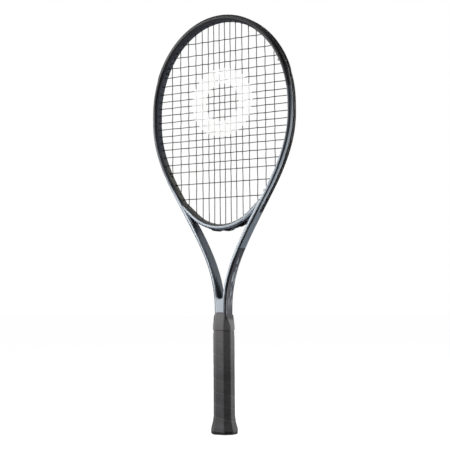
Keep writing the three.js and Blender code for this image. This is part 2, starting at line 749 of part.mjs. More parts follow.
// Thin blade that winds up the handle, one turn to a pitch, with a section at the middle of every face
// of the octagon. It drops to the right across the front face.
function seamBlade() {
  const corners = handleCorners(TAPER.from, 0);
  const faces = corners.map(([x, y], i) => {
    const [nextX, nextY] = corners[(i + 1) % corners.length];
    return [(x + nextX) / 2, (y + nextY) / 2];
  });
  const rings = [];
  const rise = GRIP_PITCH / faces.length;
  const count = Math.ceil((GRIP.top + 2 * GRIP_PITCH) / rise);
  for (let k = 0; k < count; k += 1) {
    const [x, y] = faces[(FRONT_FACE + k * (faces.length - 1)) % faces.length];
    const middle = SEAM_PHASE - GRIP_PITCH + k * rise;
    const at = (reach, end) => vector(x * reach, y * reach, middle + (end * GRIP_SEAM) / 2);
    const [outer, inner] = [BLADE.outer, BLADE.inner];
    rings.push([at(outer, -1), at(outer, 1), at(inner, 1), at(inner, -1)]);
  }
  return loft(rings);
}

// the grip is one strip wound up the handle
function makeGrip() {
  const whole = sleeve(levelsFrom(GRIP.bottom, GRIP.top, 0), GRIP.thick);
  return largestPiece(whole.subtract(seamBlade()));
}

function sleeve(levels, wall) {
  const outside = handleLoft(levels);
  const inside = handleLoft(levels.map(([z, depth], i) => {
    const last = levels.length - 1;
    return [z + (i === 0 ? -1 : 0) + (i === last ? 1 : 0), depth + wall];
  }));
  return outside.subtract(inside);
}

function makeTape() {
  const skin = -(TAPE.gap + TAPE.thick);
  return sleeve(levelsFrom(TAPE.bottom, TAPE.top, skin), TAPE.thick);
}

// a rubber sleeve over the end of the grip that narrows onto the shaft
function makeCollar() {
  const { bottom, shoulder, top, wall } = COLLAR;
  const skin = -(2 * TAPE.gap + TAPE.thick + wall);
  const whole = { ...SECTION.shaft, a: LEG_X + SECTION.shaft.a, inner: SECTION.shaft.outer };
  const shaft = (grow) => octagon(whole, grow);
  const ring = (z, pull, k) => {
    const [low, high] = [handleCorners(Math.min(z, shoulder), skin + pull), shaft(GAP + wall - pull)];
    return low.map(([x, y], i) => vector(mixNumbers(x, high[i][0], k), mixNumbers(y, high[i][1], k), z));
  };
  const levels = [[bottom, 0], ...COLLAR_CONE];
  const outside = loft(levels.map(([z, k]) => ring(z, 0, k)));
  const inside = loft([[bottom - 1, 0], ...COLLAR_CONE, [top + 1, 1]].map(([z, k]) => ring(z, wall, k)));
  return outside.subtract(inside);
}

// ---------------------------------------------------------------- assembly

function finish(color, roughness, metalness = 0) {
  return new THREE.MeshStandardMaterial({ color, roughness, metalness });
}

const MATERIAL = {
  paint: finish(0xb9c2cb, 0.35, 0.2),
  black: finish(0x1d1d20, 0.6),
  string: finish(0x55564f, 0.45),
  foam: finish(0x8a7c55, 0.9),
  steel: finish(0xb8babd, 0.35, 1),
  grip: finish(0x3d3c3f, 0.85),
  tape: finish(0x202022, 0.7),
  rubber: finish(0x5e5c5c, 0.8),
  lid: finish(0x2a2a2e, 0.4),
};

function makeHairpin() {
  const shell = tube((z) => octagon(sectionAt(z))).add(legWeb());
  const hollow = tube((z) => cavity(sectionAt(z)), BEYOND);
  return cut(shell, [hollow, grooveCutter(), ...hoopPorts.map(portHole)]);
}

const racket = new THREE.Group();

function addPart(name, solid, material) {
  const mesh = new THREE.Mesh(toGeometry(solid), material);
  mesh.name = name;
  racket.add(mesh);
}

const shoulderHoles = hoopPorts.filter((port) => port.inner.z < hoopFootZ).map(portHole);

addPart('frame_hairpin', makeHairpin(), MATERIAL.paint);
addPart('throat_bridge', makeBridge([...bridgePorts.map(portHole), ...shoulderHoles]), MATERIAL.paint);
addPart('bumper_guard', makeBumper(), MATERIAL.black);
addPart('side_grommet_strip_left', makeSideStrip(-1), MATERIAL.black);
addPart('side_grommet_strip_right', makeSideStrip(1), MATERIAL.black);
addPart('bridge_grommet_strip', makeBridgeStrip(), MATERIAL.black);
addPart('main_string', makeMainString(), MATERIAL.string);
addPart('cross_string', makeCrossString(), MATERIAL.string);
addPart('handle_pallet_front', makePallet(true), MATERIAL.foam);
addPart('handle_pallet_back', makePallet(false), MATERIAL.foam);
addPart('butt_cap', makeButtCap(), MATERIAL.black);
addPart('butt_cap_lid', makeButtLid(), MATERIAL.lid);
addPart('butt_staple_left', stapleSolid(-1, 0), MATERIAL.steel);
addPart('butt_staple_right', stapleSolid(1, 0), MATERIAL.steel);
addPart('grip_wrap', makeGrip(), MATERIAL.grip);
addPart('finishing_tape', makeTape(), MATERIAL.tape);
addPart('grip_collar', makeCollar(), MATERIAL.rubber);

export default racket;
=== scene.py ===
"""Tennis racket, strung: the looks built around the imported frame.

Lengths in the tables are millimetres.
"""

import math

import bpy
import numpy as np
from mathutils import Matrix, Vector


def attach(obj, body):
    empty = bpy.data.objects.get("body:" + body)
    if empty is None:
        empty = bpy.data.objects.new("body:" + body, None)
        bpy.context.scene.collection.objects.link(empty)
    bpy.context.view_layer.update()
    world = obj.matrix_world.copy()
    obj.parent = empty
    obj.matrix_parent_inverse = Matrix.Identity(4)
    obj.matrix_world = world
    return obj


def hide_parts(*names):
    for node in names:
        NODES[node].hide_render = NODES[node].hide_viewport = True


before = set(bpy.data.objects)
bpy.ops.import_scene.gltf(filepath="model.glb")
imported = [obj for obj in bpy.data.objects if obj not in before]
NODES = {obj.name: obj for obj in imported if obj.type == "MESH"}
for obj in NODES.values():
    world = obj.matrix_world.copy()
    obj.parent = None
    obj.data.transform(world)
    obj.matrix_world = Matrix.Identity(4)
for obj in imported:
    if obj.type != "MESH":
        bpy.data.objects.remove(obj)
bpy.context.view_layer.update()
MM = 0.001

# ---------------- sizes
# They are the CAD part's, save where a comment says how they differ.

LENGTH = 685.8
HOOP_HALF_WIDTH, HOOP_WIDEST_Z = 127.57, 529.0    # a hair under the part's, to stay in its box
LEG_X, LEG_BOTTOM_Z, SHAFT_TOP_Z = 7.0, 9.0, 200.0
SHOULDER_X, SHOULDER_Z, SHOULDER_LEAN = 86.2, 391.6, math.radians(31)
HANDLE_SHAFT, HANDLE_ARM, HANDLE_LOW, HANDLE_HIGH = 66.0, 92.0, 88.0, 24.0
HOOP_A, BUMPER_PROUD, GAP = 4.7, 1.0, 0.3
HOOP_TOP_Z = LENGTH - BUMPER_PROUD - HOOP_A
SHAFT_A, SHAFT_B, SHAFT_BEVEL = 3.5, 12.0, (2.7, 1.0)
# Height, half width a, half depth b, outer bevel (across, deep), inner bevel (across, deep).
# The shaft's outer bevel is smaller than the part's, and its depth is kept up to a greater height.
SECTIONS = np.array([
    [0, 3.2, 6.8, 2.0, 2.0, 1.2, 1.3],
    [180, 3.2, 6.8, 2.0, 2.0, 1.2, 1.3],
    [187, SHAFT_A, SHAFT_B, *SHAFT_BEVEL, 1.2, 1.3],
    [209, SHAFT_A, SHAFT_B, *SHAFT_BEVEL, 1.2, 1.3],
    [240, 3.5, 12.0, 2.2, 1.3, 1.2, 1.3],
    [268, 3.5, 11.2, 1.9, 1.6, 1.2, 1.3],
    [330, 3.5, 11.2, 1.9, 1.6, 1.2, 1.3],
    [385, 4.7, 10.8, 2.6, 4.6, 2.6, 4.6],
    [LENGTH, 4.7, 10.8, 2.6, 4.6, 2.6, 4.6],
])
WEB_NOTCH_Z, WEB_NOTCH_DEEP = 223.8, 5.8
BRIDGE_R, BRIDGE_Z, BRIDGE_BEND, BRIDGE_HALF = 80.0, 334.5, math.radians(42), 86.0
BRIDGE_A, BRIDGE_B, BRIDGE_BEVEL = 4.7, 10.4, (2.6, 4.2)
BRIDGE_GROOVE_HALF = 44.9
GROOVE_HALF, GROOVE_DEPTH, GROOVE_END_Z = 4.6, 2.8, 341.0
STRIP_HALF, STRIP_FLOOR, STRIP_CHANNEL, CLOSED_STEP = 4.3, 0.7, 2.1, 0.08
BUMPER_END_Z = 573.0
BARREL_PROUD, LANE = 1.2, 1.0
STRING_R, STRING_LIFT = 0.74, 0.1                 # a little thicker than the part's
MAIN_X = [5, 15.7, 26.1, 37.9, 50.3, 65, 80.5, 97.1]
CROSS_Z = [645, 624.6, 607.8, 592.6, 578, 564.4, 551.8, 540.5, 528.7, 516.3,
           504.7, 492.8, 481.5, 469.7, 456.5, 442.8, 429.4, 408.6, 383.4]
BRIDGE_MAINS, SHOULDER_EXIT_Z = 4, [346, 364]
TIE_MAINS, TIE_CROSS_TOP, TIE_CROSS_FOOT = 19.0, -19.0, -7.5
GRIP_X, GRIP_Y, GRIP_BEVEL = 16.2, 14.4, 8.2
GRIP_TOP, GRIP_BOTTOM, GRIP_PITCH, SEAM_PHASE, GRIP_WALL = 172.0, 5.0, 20.0, 7.0, 1.6
GRIP_CORNER = 1.5
TAPER_FROM, TAPER_SHRINK = 156.0, 1.0             # the part's handle narrows by 0.3 more
PADDING, PADDING_Z = 0.45, (14.0, 34.0)           # how much fuller than the part's handle
FLARE = np.array([[0, 1.13], [1.2, 1.2], [3.2, 1.27], [6, 1.29], [10, 1.275],
                  [15, 1.18], [21, 1.09], [30, 1.0]])
TAPE_GAP, TAPE_THICK, COLLAR_WALL = 0.2, 0.3, 0.6
COLLAR_CONE = np.array([[174, 0], [178, 0.25], [185, 0.55], [191, 0.85], [197, 1]])
COLLAR_TOP_VISIBLE, COLLAR_DIP = 195.8, 4.2
LID_R, LID_DEPTH = 11.0, 1.6


# ---------------- meshes

MATT_BELOW = 1.5                  # bands of the section's inner flat and lower inner bevel
SKEW = (0.31, 0.83, 0.46)         # a direction that nothing on the racket runs along


def smoothstep(value, low, high):
    """0 at low, 1 at high; low may be the greater."""
    t = np.clip((np.asarray(value, float) - low) / (high - low), 0, 1)
    return t * t * (3 - 2 * t)


def unit(v):
    """A vector, or each row of vectors, at length 1."""
    return v / np.linalg.norm(v, axis=-1, keepdims=True)


def bend(p, corner, q, steps):
    """Points on the curve from p to q that rounds the corner between them."""
    t = np.linspace(0, 1, steps)[:, None]
    return (1 - t) ** 2 * p + 2 * (1 - t) * t * corner + t ** 2 * q


def put(name, data):
    obj = bpy.data.objects.new(name, data)
    bpy.context.scene.collection.objects.link(obj)
    return obj


def make(name, verts, faces, material, slot, replaces=(), attributes=None, sharp=38, matt=None):
    """A mesh piece from points in millimetres, riding on the racket's one body."""
    mesh = bpy.data.meshes.new(name)
    mesh.from_pydata([tuple(v) for v in np.asarray(verts, float) * MM], [], faces)
    mesh.polygons.foreach_set("use_smooth", [True] * len(mesh.polygons))
    mesh.set_sharp_from_angle(angle=math.radians(sharp))
    for key, values in (attributes or {}).items():
        layer = mesh.attributes.new(key, "FLOAT", "POINT")
        layer.data.foreach_set("value", np.asarray(values, np.float32))
    mesh.update()
    obj = put(name, mesh)
    mesh.materials.append(material)
    if matt:
        mesh.materials.append(matt)
        band = attributes["band"]
        inner = [float(np.mean(band[list(f)])) < MATT_BELOW for f in faces]
        mesh.polygons.foreach_set("material_index", np.array(inner, np.int32))
    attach(obj, "root")
    if replaces:
        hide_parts(*replaces)


def skin(rings, looped=False):
    """Points and faces over equal (n, 3) rings, capped at both ends or looped round."""
    count = len(rings[0])
    faces = []
    for r in range(len(rings) if looped else len(rings) - 1):
        a, b = r * count, (r + 1) % len(rings) * count
        for i in range(count):
            j = (i + 1) % count
            faces.append((a + i, a + j, b + j, b + i))
    if not looped:
        faces.append(tuple(range(count - 1, -1, -1)))
        faces.append(tuple(range((len(rings) - 1) * count, len(rings) * count)))
    return np.concatenate(rings), faces


def merged(parts):
    """Several (points, faces) as one."""
    verts, faces, base = [], [], 0
    for points, polygons in parts:
        verts.append(np.asarray(points, float))
        faces += [tuple(i + base for i in polygon) for polygon in polygons]
        base += len(points)
    return np.concatenate(verts), faces


def tube(path, radius, sides):
    """A round tube along a path, turned as little as possible from one section to the next."""
    tangent = unit(np.gradient(path, axis=0))
    side = np.cross(tangent[0], SKEW)
    angles = np.linspace(0, 2 * np.pi, sides, endpoint=False)
    rings = []
    for point, along in zip(path, tangent):
        side = unit(side - along * side.dot(along))
        other = np.cross(along, side)
        rings.append(point + radius * (np.outer(np.cos(angles), side)
                                       + np.outer(np.sin(angles), other)))
    return skin(rings)


def lathe(profile, sides, centre, axis):
    """The rings of a solid of revolution, from (radius, height) points."""
    side = unit(np.cross(axis, SKEW))
    other = np.cross(axis, side)
    angles = np.linspace(0, 2 * np.pi, sides, endpoint=False)
    around = np.outer(np.cos(angles), side) + np.outer(np.sin(angles), other)
    return [np.asarray(centre) + r * around + h * np.asarray(axis) for r, h in profile]


# ---------------- centreline and sections

def bezier(p0, p1, p2, p3, count=600):
    t = np.linspace(0, 1, count)[:, None]
    p0, p1, p2, p3 = map(np.array, (p0, p1, p2, p3))
    return (1 - t) ** 3 * p0 + 3 * (1 - t) ** 2 * t * p1 + 3 * (1 - t) * t ** 2 * p2 + t ** 3 * p3


def centreline():
    sine, cosine = math.sin(SHOULDER_LEAN), math.cos(SHOULDER_LEAN)
    foot, top = (-LEG_X, SHAFT_TOP_Z), (-SHOULDER_X, SHOULDER_Z)
    legs = np.linspace((-LEG_X, LEG_BOTTOM_Z), foot, 200)
    arm = bezier(foot, (-LEG_X, SHAFT_TOP_Z + HANDLE_SHAFT),
                 (-(SHOULDER_X - HANDLE_ARM * sine), SHOULDER_Z - HANDLE_ARM * cosine), top)
    low = bezier(top, (-(SHOULDER_X + HANDLE_LOW * sine), SHOULDER_Z + HANDLE_LOW * cosine),
                 (-HOOP_HALF_WIDTH, HOOP_WIDEST_Z - HANDLE_HIGH), (-HOOP_HALF_WIDTH, HOOP_WIDEST_Z))
    angle = np.linspace(math.pi, math.pi / 2, 600)
    high = np.stack([HOOP_HALF_WIDTH * np.cos(angle),
                     HOOP_WIDEST_Z + (HOOP_TOP_Z - HOOP_WIDEST_Z) * np.sin(angle)], 1)
    left = np.concatenate([legs, arm[1:], low[1:], high[1:]])
    return np.concatenate([left, (left * (-1, 1))[-2::-1]])


LINE = centreline()
LINE_S = np.concatenate([[0], np.cumsum(np.linalg.norm(np.diff(LINE, axis=0), axis=1))])
TOTAL = LINE_S[-1]
HALF = TOTAL / 2
DENSE_S = np.linspace(0, TOTAL, 8001)
DENSE = np.stack([np.interp(DENSE_S, LINE_S, LINE[:, k]) for k in (0, 1)], 1)
DENSE_T = unit(np.gradient(DENSE, axis=0))


def place(s):
    """Points on the centreline and the unit vectors that point out of the hoop, both as (x, z)."""
    s = np.atleast_1d(np.asarray(s, float))
    at = np.stack([np.interp(s, LINE_S, LINE[:, k]) for k in (0, 1)], 1)
    t = unit(np.stack([np.interp(s, DENSE_S, DENSE_T[:, k]) for k in (0, 1)], 1))
    return at, np.stack([-t[:, 1], t[:, 0]], 1)


def bridge_place(d):
    """The same on the bridge, at distances from its middle."""
    d = np.atleast_1d(np.asarray(d, float))
    angle = np.clip(d / BRIDGE_R, -BRIDGE_BEND, BRIDGE_BEND)
    out = np.stack([np.sin(angle), -np.cos(angle)], 1)
    along = np.stack([np.cos(angle), np.sin(angle)], 1)
    centre = np.array([0, BRIDGE_Z + BRIDGE_R])
    return centre + out * BRIDGE_R + along * (d - angle * BRIDGE_R)[:, None], out


def section(z):
    return [np.interp(z, SECTIONS[:, 0], SECTIONS[:, k]) for k in range(1, 7)]


def half_width(at):
    """Half width of the tube's section at a point of its centreline."""
    return float(section(at[1])[0])


def lift(at, out, outline):
    """An outline's (n, y) rows as points in space."""
    n, y = outline[:, 0], outline[:, 1]
    return np.stack([at[0] + out[0] * n, y, at[1] + out[1] * n], 1)


def swept(distances, placed, outline_of):
    """The rings of outline_of(distance, point) along a line, and the bands of their points."""
    outlines = [outline_of(s, p) for s, p in zip(distances, placed[0])]
    rings = [lift(p, o, line) for p, o, line in zip(*placed, outlines)]
    return rings, np.concatenate([line[:, 2] for line in outlines])


def rounded(corners, steps=4):
    """Corners are (n, y, band, radius). Returns the rounded polyline as (n, y, band) rows."""
    c = [np.array(p[:3], float) for p in corners]
    rows = [c[0]]
    for k in range(1, len(c) - 1):
        radius = corners[k][3]
        before, after = c[k - 1] - c[k], c[k + 1] - c[k]
        lb, la = np.hypot(*before[:2]), np.hypot(*after[:2])
        if radius <= 0 or min(lb, la) < 1e-6:
            rows.append(c[k])
            continue
        p = c[k] + before * min(radius / lb, 0.46)
        q = c[k] + after * min(radius / la, 0.46)
        rows.extend(bend(p, c[k], q, steps))
    rows.append(c[-1])
    return np.array(rows)


def mirrored(half):
    """A whole outline from the half at y >= 0 whose two ends are at y = 0."""
    return np.concatenate([half, (half * (1, -1, 1))[-2:0:-1]])


def wall_outline(sec, groove):
    """Half of a section's outline as corners, rounded and mirrored; groove 1 is its full depth.

    Band: 0-1 inner flat, 1-2 inner bevel, 2-3 front or back flat, 3-4 outer bevel, 4-5 outer flat.
    """
    a, b, o0, o1, i0, i1 = sec
    floor = a - max(groove * GROOVE_DEPTH, 0.02)
    return mirrored(rounded([
        (floor, 0, 5.0, 0), (floor, GROOVE_HALF, 4.7, 0.25), (a, GROOVE_HALF, 4.5, 0.25),
        (a, b - o1, 4.0, 1.1), (a - o0, b, 3.0, 1.1), (-a + i0, b, 2.0, 1.0),
        (-a, b - i1, 1.0, 1.1), (-a, 0, 0.0, 0)]))


# ---------------- string ports

def curve_at(n):
    """The dense centreline offset by n."""
    out = np.stack([-DENSE_T[:, 1], DENSE_T[:, 0]], 1)
    return DENSE + out * n


def find(values, target, low, high):
    """Distance between low and high at which the dense values cross the target."""
    pick = np.where((DENSE_S >= low) & (DENSE_S <= high))[0]
    d = values[pick] - target
    k = np.where(d[:-1] * d[1:] <= 0)[0][0]
    here, ahead = DENSE_S[pick[k]], DENSE_S[pick[k + 1]]
    return float(here + (ahead - here) * d[k] / (d[k] - d[k + 1]))


INNER = curve_at(-HOOP_A - BARREL_PROUD)
GROOVE_START = find(DENSE[:, 1], GROOVE_END_Z, 0, HALF)
BUMPER_START = find(DENSE[:, 1], BUMPER_END_Z, 0, HALF)
WIDEST = find(DENSE[:, 1], HOOP_WIDEST_Z, 0, HALF)


def channel_floor(a):
    return a - GROOVE_DEPTH + GAP + STRIP_FLOOR


def string_height(a):
    return channel_floor(a) + STRING_LIFT + STRING_R


def spot(at, out, n, y=0.0):
    return np.array([at[0] + out[0] * n, y, at[1] + out[1] * n])


def port_at(placed, a, lane, s=None, bridge=None):
    """A string hole: its barrel's tip, its foot in the channel and the string outside it."""
    (at,), (out,) = placed
    return {"s": s, "lane": lane, "bridge": bridge, "inner": spot(at, out, -a - BARREL_PROUD),
            "foot": spot(at, out, channel_floor(a), lane),
            "outer": spot(at, out, string_height(a), lane)}


def hoop_port(s, lane):
    placed = place(s)
    return port_at(placed, half_width(placed[0][0]), lane, s=s)


def bridge_distance(x):
    radius = BRIDGE_R - BRIDGE_A - BARREL_PROUD
    arc = radius * math.sin(BRIDGE_BEND)
    if abs(x) < arc:
        return math.asin(x / radius) * BRIDGE_R
    return math.copysign(BRIDGE_BEND * BRIDGE_R + (abs(x) - arc) / math.cos(BRIDGE_BEND), x)


def bridge_port(x, lane):
    d = bridge_distance(x)
    return port_at(bridge_place(d), BRIDGE_A, lane, bridge=d)


def axis_of(port):
    return unit(port["outer"] - port["inner"])


def flipped(port):
    """The same port on the other side of the racket."""
    points = {key: port[key] * (-1, 1, 1) for key in ("inner", "foot", "outer")}
    return dict(port, s=TOTAL - port["s"], **points)


def main_port(number, side):
    """(top, bottom) ports of a main string."""
    x = MAIN_X[number]
    top = hoop_port(find(INNER[:, 0], -x, WIDEST, HALF), -LANE)
    if number < BRIDGE_MAINS:
        bottom = bridge_port(side * x, -LANE)
    elif number < BRIDGE_MAINS + len(SHOULDER_EXIT_Z):
        height = SHOULDER_EXIT_Z[number - BRIDGE_MAINS]
        bottom = hoop_port(find(DENSE[:, 1], height, 0, HALF), -LANE)
        bottom["inner"] = bridge_port(-x, -LANE)["inner"]
        bottom["outer"] = bottom["foot"] + axis_of(bottom) * (STRING_LIFT + STRING_R)
    else:
        bottom = hoop_port(find(INNER[:, 0], -x, GROOVE_START, WIDEST), -LANE)
    if side < 0:
        return top, bottom
    return flipped(top), bottom if bottom["bridge"] is not None else flipped(bottom)


MAINS = [(-x, *main_port(i, -1)) for i, x in reversed(list(enumerate(MAIN_X)))]
MAINS += [(x, *main_port(i, 1)) for i, x in enumerate(MAIN_X)]
CROSSES = []
for height in CROSS_Z:
    left_port = hoop_port(find(INNER[:, 1], height, GROOVE_START, HALF), LANE)
    CROSSES.append((height, left_port, flipped(left_port)))
TIES = [hoop_port(MAINS[0][1]["s"] - TIE_MAINS, -LANE),
        hoop_port(MAINS[-1][1]["s"] + TIE_MAINS, -LANE),
        hoop_port(CROSSES[0][1]["s"] + TIE_CROSS_TOP, LANE),
        hoop_port(CROSSES[-1][2]["s"] + TIE_CROSS_FOOT, LANE)]
BRIDGE_PORTS = [m[2] for m in MAINS if m[2]["bridge"] is not None]
HOOP_PORTS = ([m[1] for m in MAINS] + [m[2] for m in MAINS if m[2]["bridge"] is None]
              + [p for c in CROSSES for p in c[1:]] + TIES)


# ---------------- materials

def linear(value):
    """Linear value of an sRGB one from 0 to 255."""
    v = value / 255
    return v / 12.92 if v <= 0.04045 else ((v + 0.055) / 1.055) ** 2.4


def colour(r, g, b):
    return (linear(r), linear(g), linear(b), 1.0)


class Value:
    """A number in a material, with arithmetic."""

    def __init__(self, shader, socket):
        self.shader, self.socket = shader, socket

    def __add__(self, other):
        return self.shader.math("ADD", self, other)

    def __sub__(self, other):
        return self.shader.math("SUBTRACT", self, other)

    def __rsub__(self, other):
        return self.shader.math("SUBTRACT", other, self)

    def __mul__(self, other):
        return self.shader.math("MULTIPLY", self, other)

    def __abs__(self):
        return self.shader.math("ABSOLUTE", self)

    __radd__ = __add__


class Shader:
    """A material's nodes, written as expressions."""

    def __init__(self, name, **sockets):
        self.material = bpy.data.materials.new(name)
        self.material.use_nodes = True
        self.tree = self.material.node_tree
        self.bsdf = self.tree.nodes["Principled BSDF"]
        self.set(**sockets)
        position = self.add("ShaderNodeNewGeometry").outputs["Position"]
        self.to_mm = self.add("ShaderNodeVectorMath", {0: position, "Scale": 1 / MM},
                              operation="SCALE").outputs[0]
        split = self.add("ShaderNodeSeparateXYZ", [self.to_mm])
        self.x, self.y, self.z = (Value(self, output) for output in split.outputs)

    def add(self, kind, inputs=(), **settings):
        """A new node. Its inputs are a list in the node's order, or a dict by name or number."""
        node = self.tree.nodes.new(kind)
        for key, value in settings.items():
            setattr(node, key, value)
        named = inputs if isinstance(inputs, dict) else dict(enumerate(inputs))
        for key, value in named.items():
            self.link(value, node.inputs[key])
        return node

    def link(self, source, target):
        """Join a socket to a node's input, or set the input to a number or colour."""
        source = source.socket if isinstance(source, Value) else source
        if isinstance(source, (int, float, tuple)):
            target.default_value = source
        else:
            self.tree.links.new(source, target)

    def math(self, operation, *values):
        return Value(self, self.add("ShaderNodeMath", values, operation=operation).outputs[0])

    def attribute(self, name):
        node = self.add("ShaderNodeAttribute", attribute_name=name)
        return Value(self, node.outputs["Fac"])

    def step(self, value, low, high):
        """0 below low, 1 above high, smooth between."""
        node = self.add("ShaderNodeMapRange", (value, low, high, 0.0, 1.0),
                        interpolation_type="SMOOTHSTEP")
        return Value(self, node.outputs[0])

    def inside(self, value, low, high, soft):
        """1 between low and high."""
        return (self.step(value, low - soft, low + soft)
                * (1.0 - self.step(value, high - soft, high + soft)))

    def mix(self, factor, a, b):
        """Colour a where the factor is 0, b where it is 1."""
        return self.add("ShaderNodeMix", {0: factor, 6: a, 7: b}, data_type="RGBA").outputs[2]

    def rising(self, low, high, a, b):
        """Colour a below the height low, b above the height high."""
        return self.mix(self.step(self.z, low, high), a, b)

    def blend(self, factor, a, b):
        """Number a where the factor is 0, b where it is 1."""
        node = self.add("ShaderNodeMix", {0: factor, 2: a, 3: b}, data_type="FLOAT")
        return Value(self, node.outputs[0])

    def noise(self, scale, detail=3.0, vector=None, distortion=0.0):
        """Noise over the position in millimetres; scale is features per millimetre."""
        node = self.add("ShaderNodeTexNoise", {
            "Vector": vector or self.to_mm, "Scale": scale, "Detail": detail,
            "Distortion": distortion})
        return Value(self, node.outputs["Fac"])

    def voronoi(self, scale, feature="F1"):
        node = self.add("ShaderNodeTexVoronoi", {"Vector": self.to_mm, "Scale": scale},
                        feature=feature)
        return Value(self, node.outputs["Distance"])

    def combine(self, *values):
        return self.add("ShaderNodeCombineXYZ", values).outputs[0]

    def bump(self, height, strength, distance_mm, normal=None):
        inputs = {"Strength": strength, "Distance": distance_mm * MM, "Height": height}
        if normal is not None:
            inputs["Normal"] = normal
        return self.add("ShaderNodeBump", inputs).outputs[0]

    def set(self, **sockets):
        for key, value in sockets.items():
            self.link(value, self.bsdf.inputs[key.replace("_", " ")])
        return self.material


SILVER = colour(190, 199, 208)
STRIPE = colour(176, 188, 200)
STRIPE_LOW, STRIPE_HIGH = colour(152, 162, 172), colour(88, 96, 104)
SLATE = colour(106, 116, 126)
NAVY = colour(50, 52, 62)
OLIVE = colour(82, 83, 78)
INNER_ARM = colour(84, 90, 96)
GRAPHITE = colour(54, 58, 66)
UNDERSIDE = colour(90, 97, 110)
DARK_SIDE = colour(40, 42, 48)
ARM_BEVEL = colour(100, 108, 116)
INK = colour(26, 26, 31)
BLACK = colour(28, 28, 32)
GREY = colour(84, 87, 94)
CHARCOAL = colour(56, 58, 64)
STREAK = colour(186, 194, 204)


HEAD_Z = (551.5, 553.0)           # the head turns black over these heights
WEDGE_FULL_Z, WEDGE_SLOPE, WEDGE_HALF, WEDGE_TIP_Z = 430.0, 0.095, 4.9, (354.0, 358.0)


def wedge(m):
    """1 on the dark band along the outer side, which runs out to a slanting tip below."""
    across = m.y * m.math("SIGN", m.x)
    edge = (WEDGE_FULL_Z - m.z) * WEDGE_SLOPE - WEDGE_HALF
    return m.step(across - edge, -0.15, 0.15) * m.step(m.z, *WEDGE_TIP_Z)


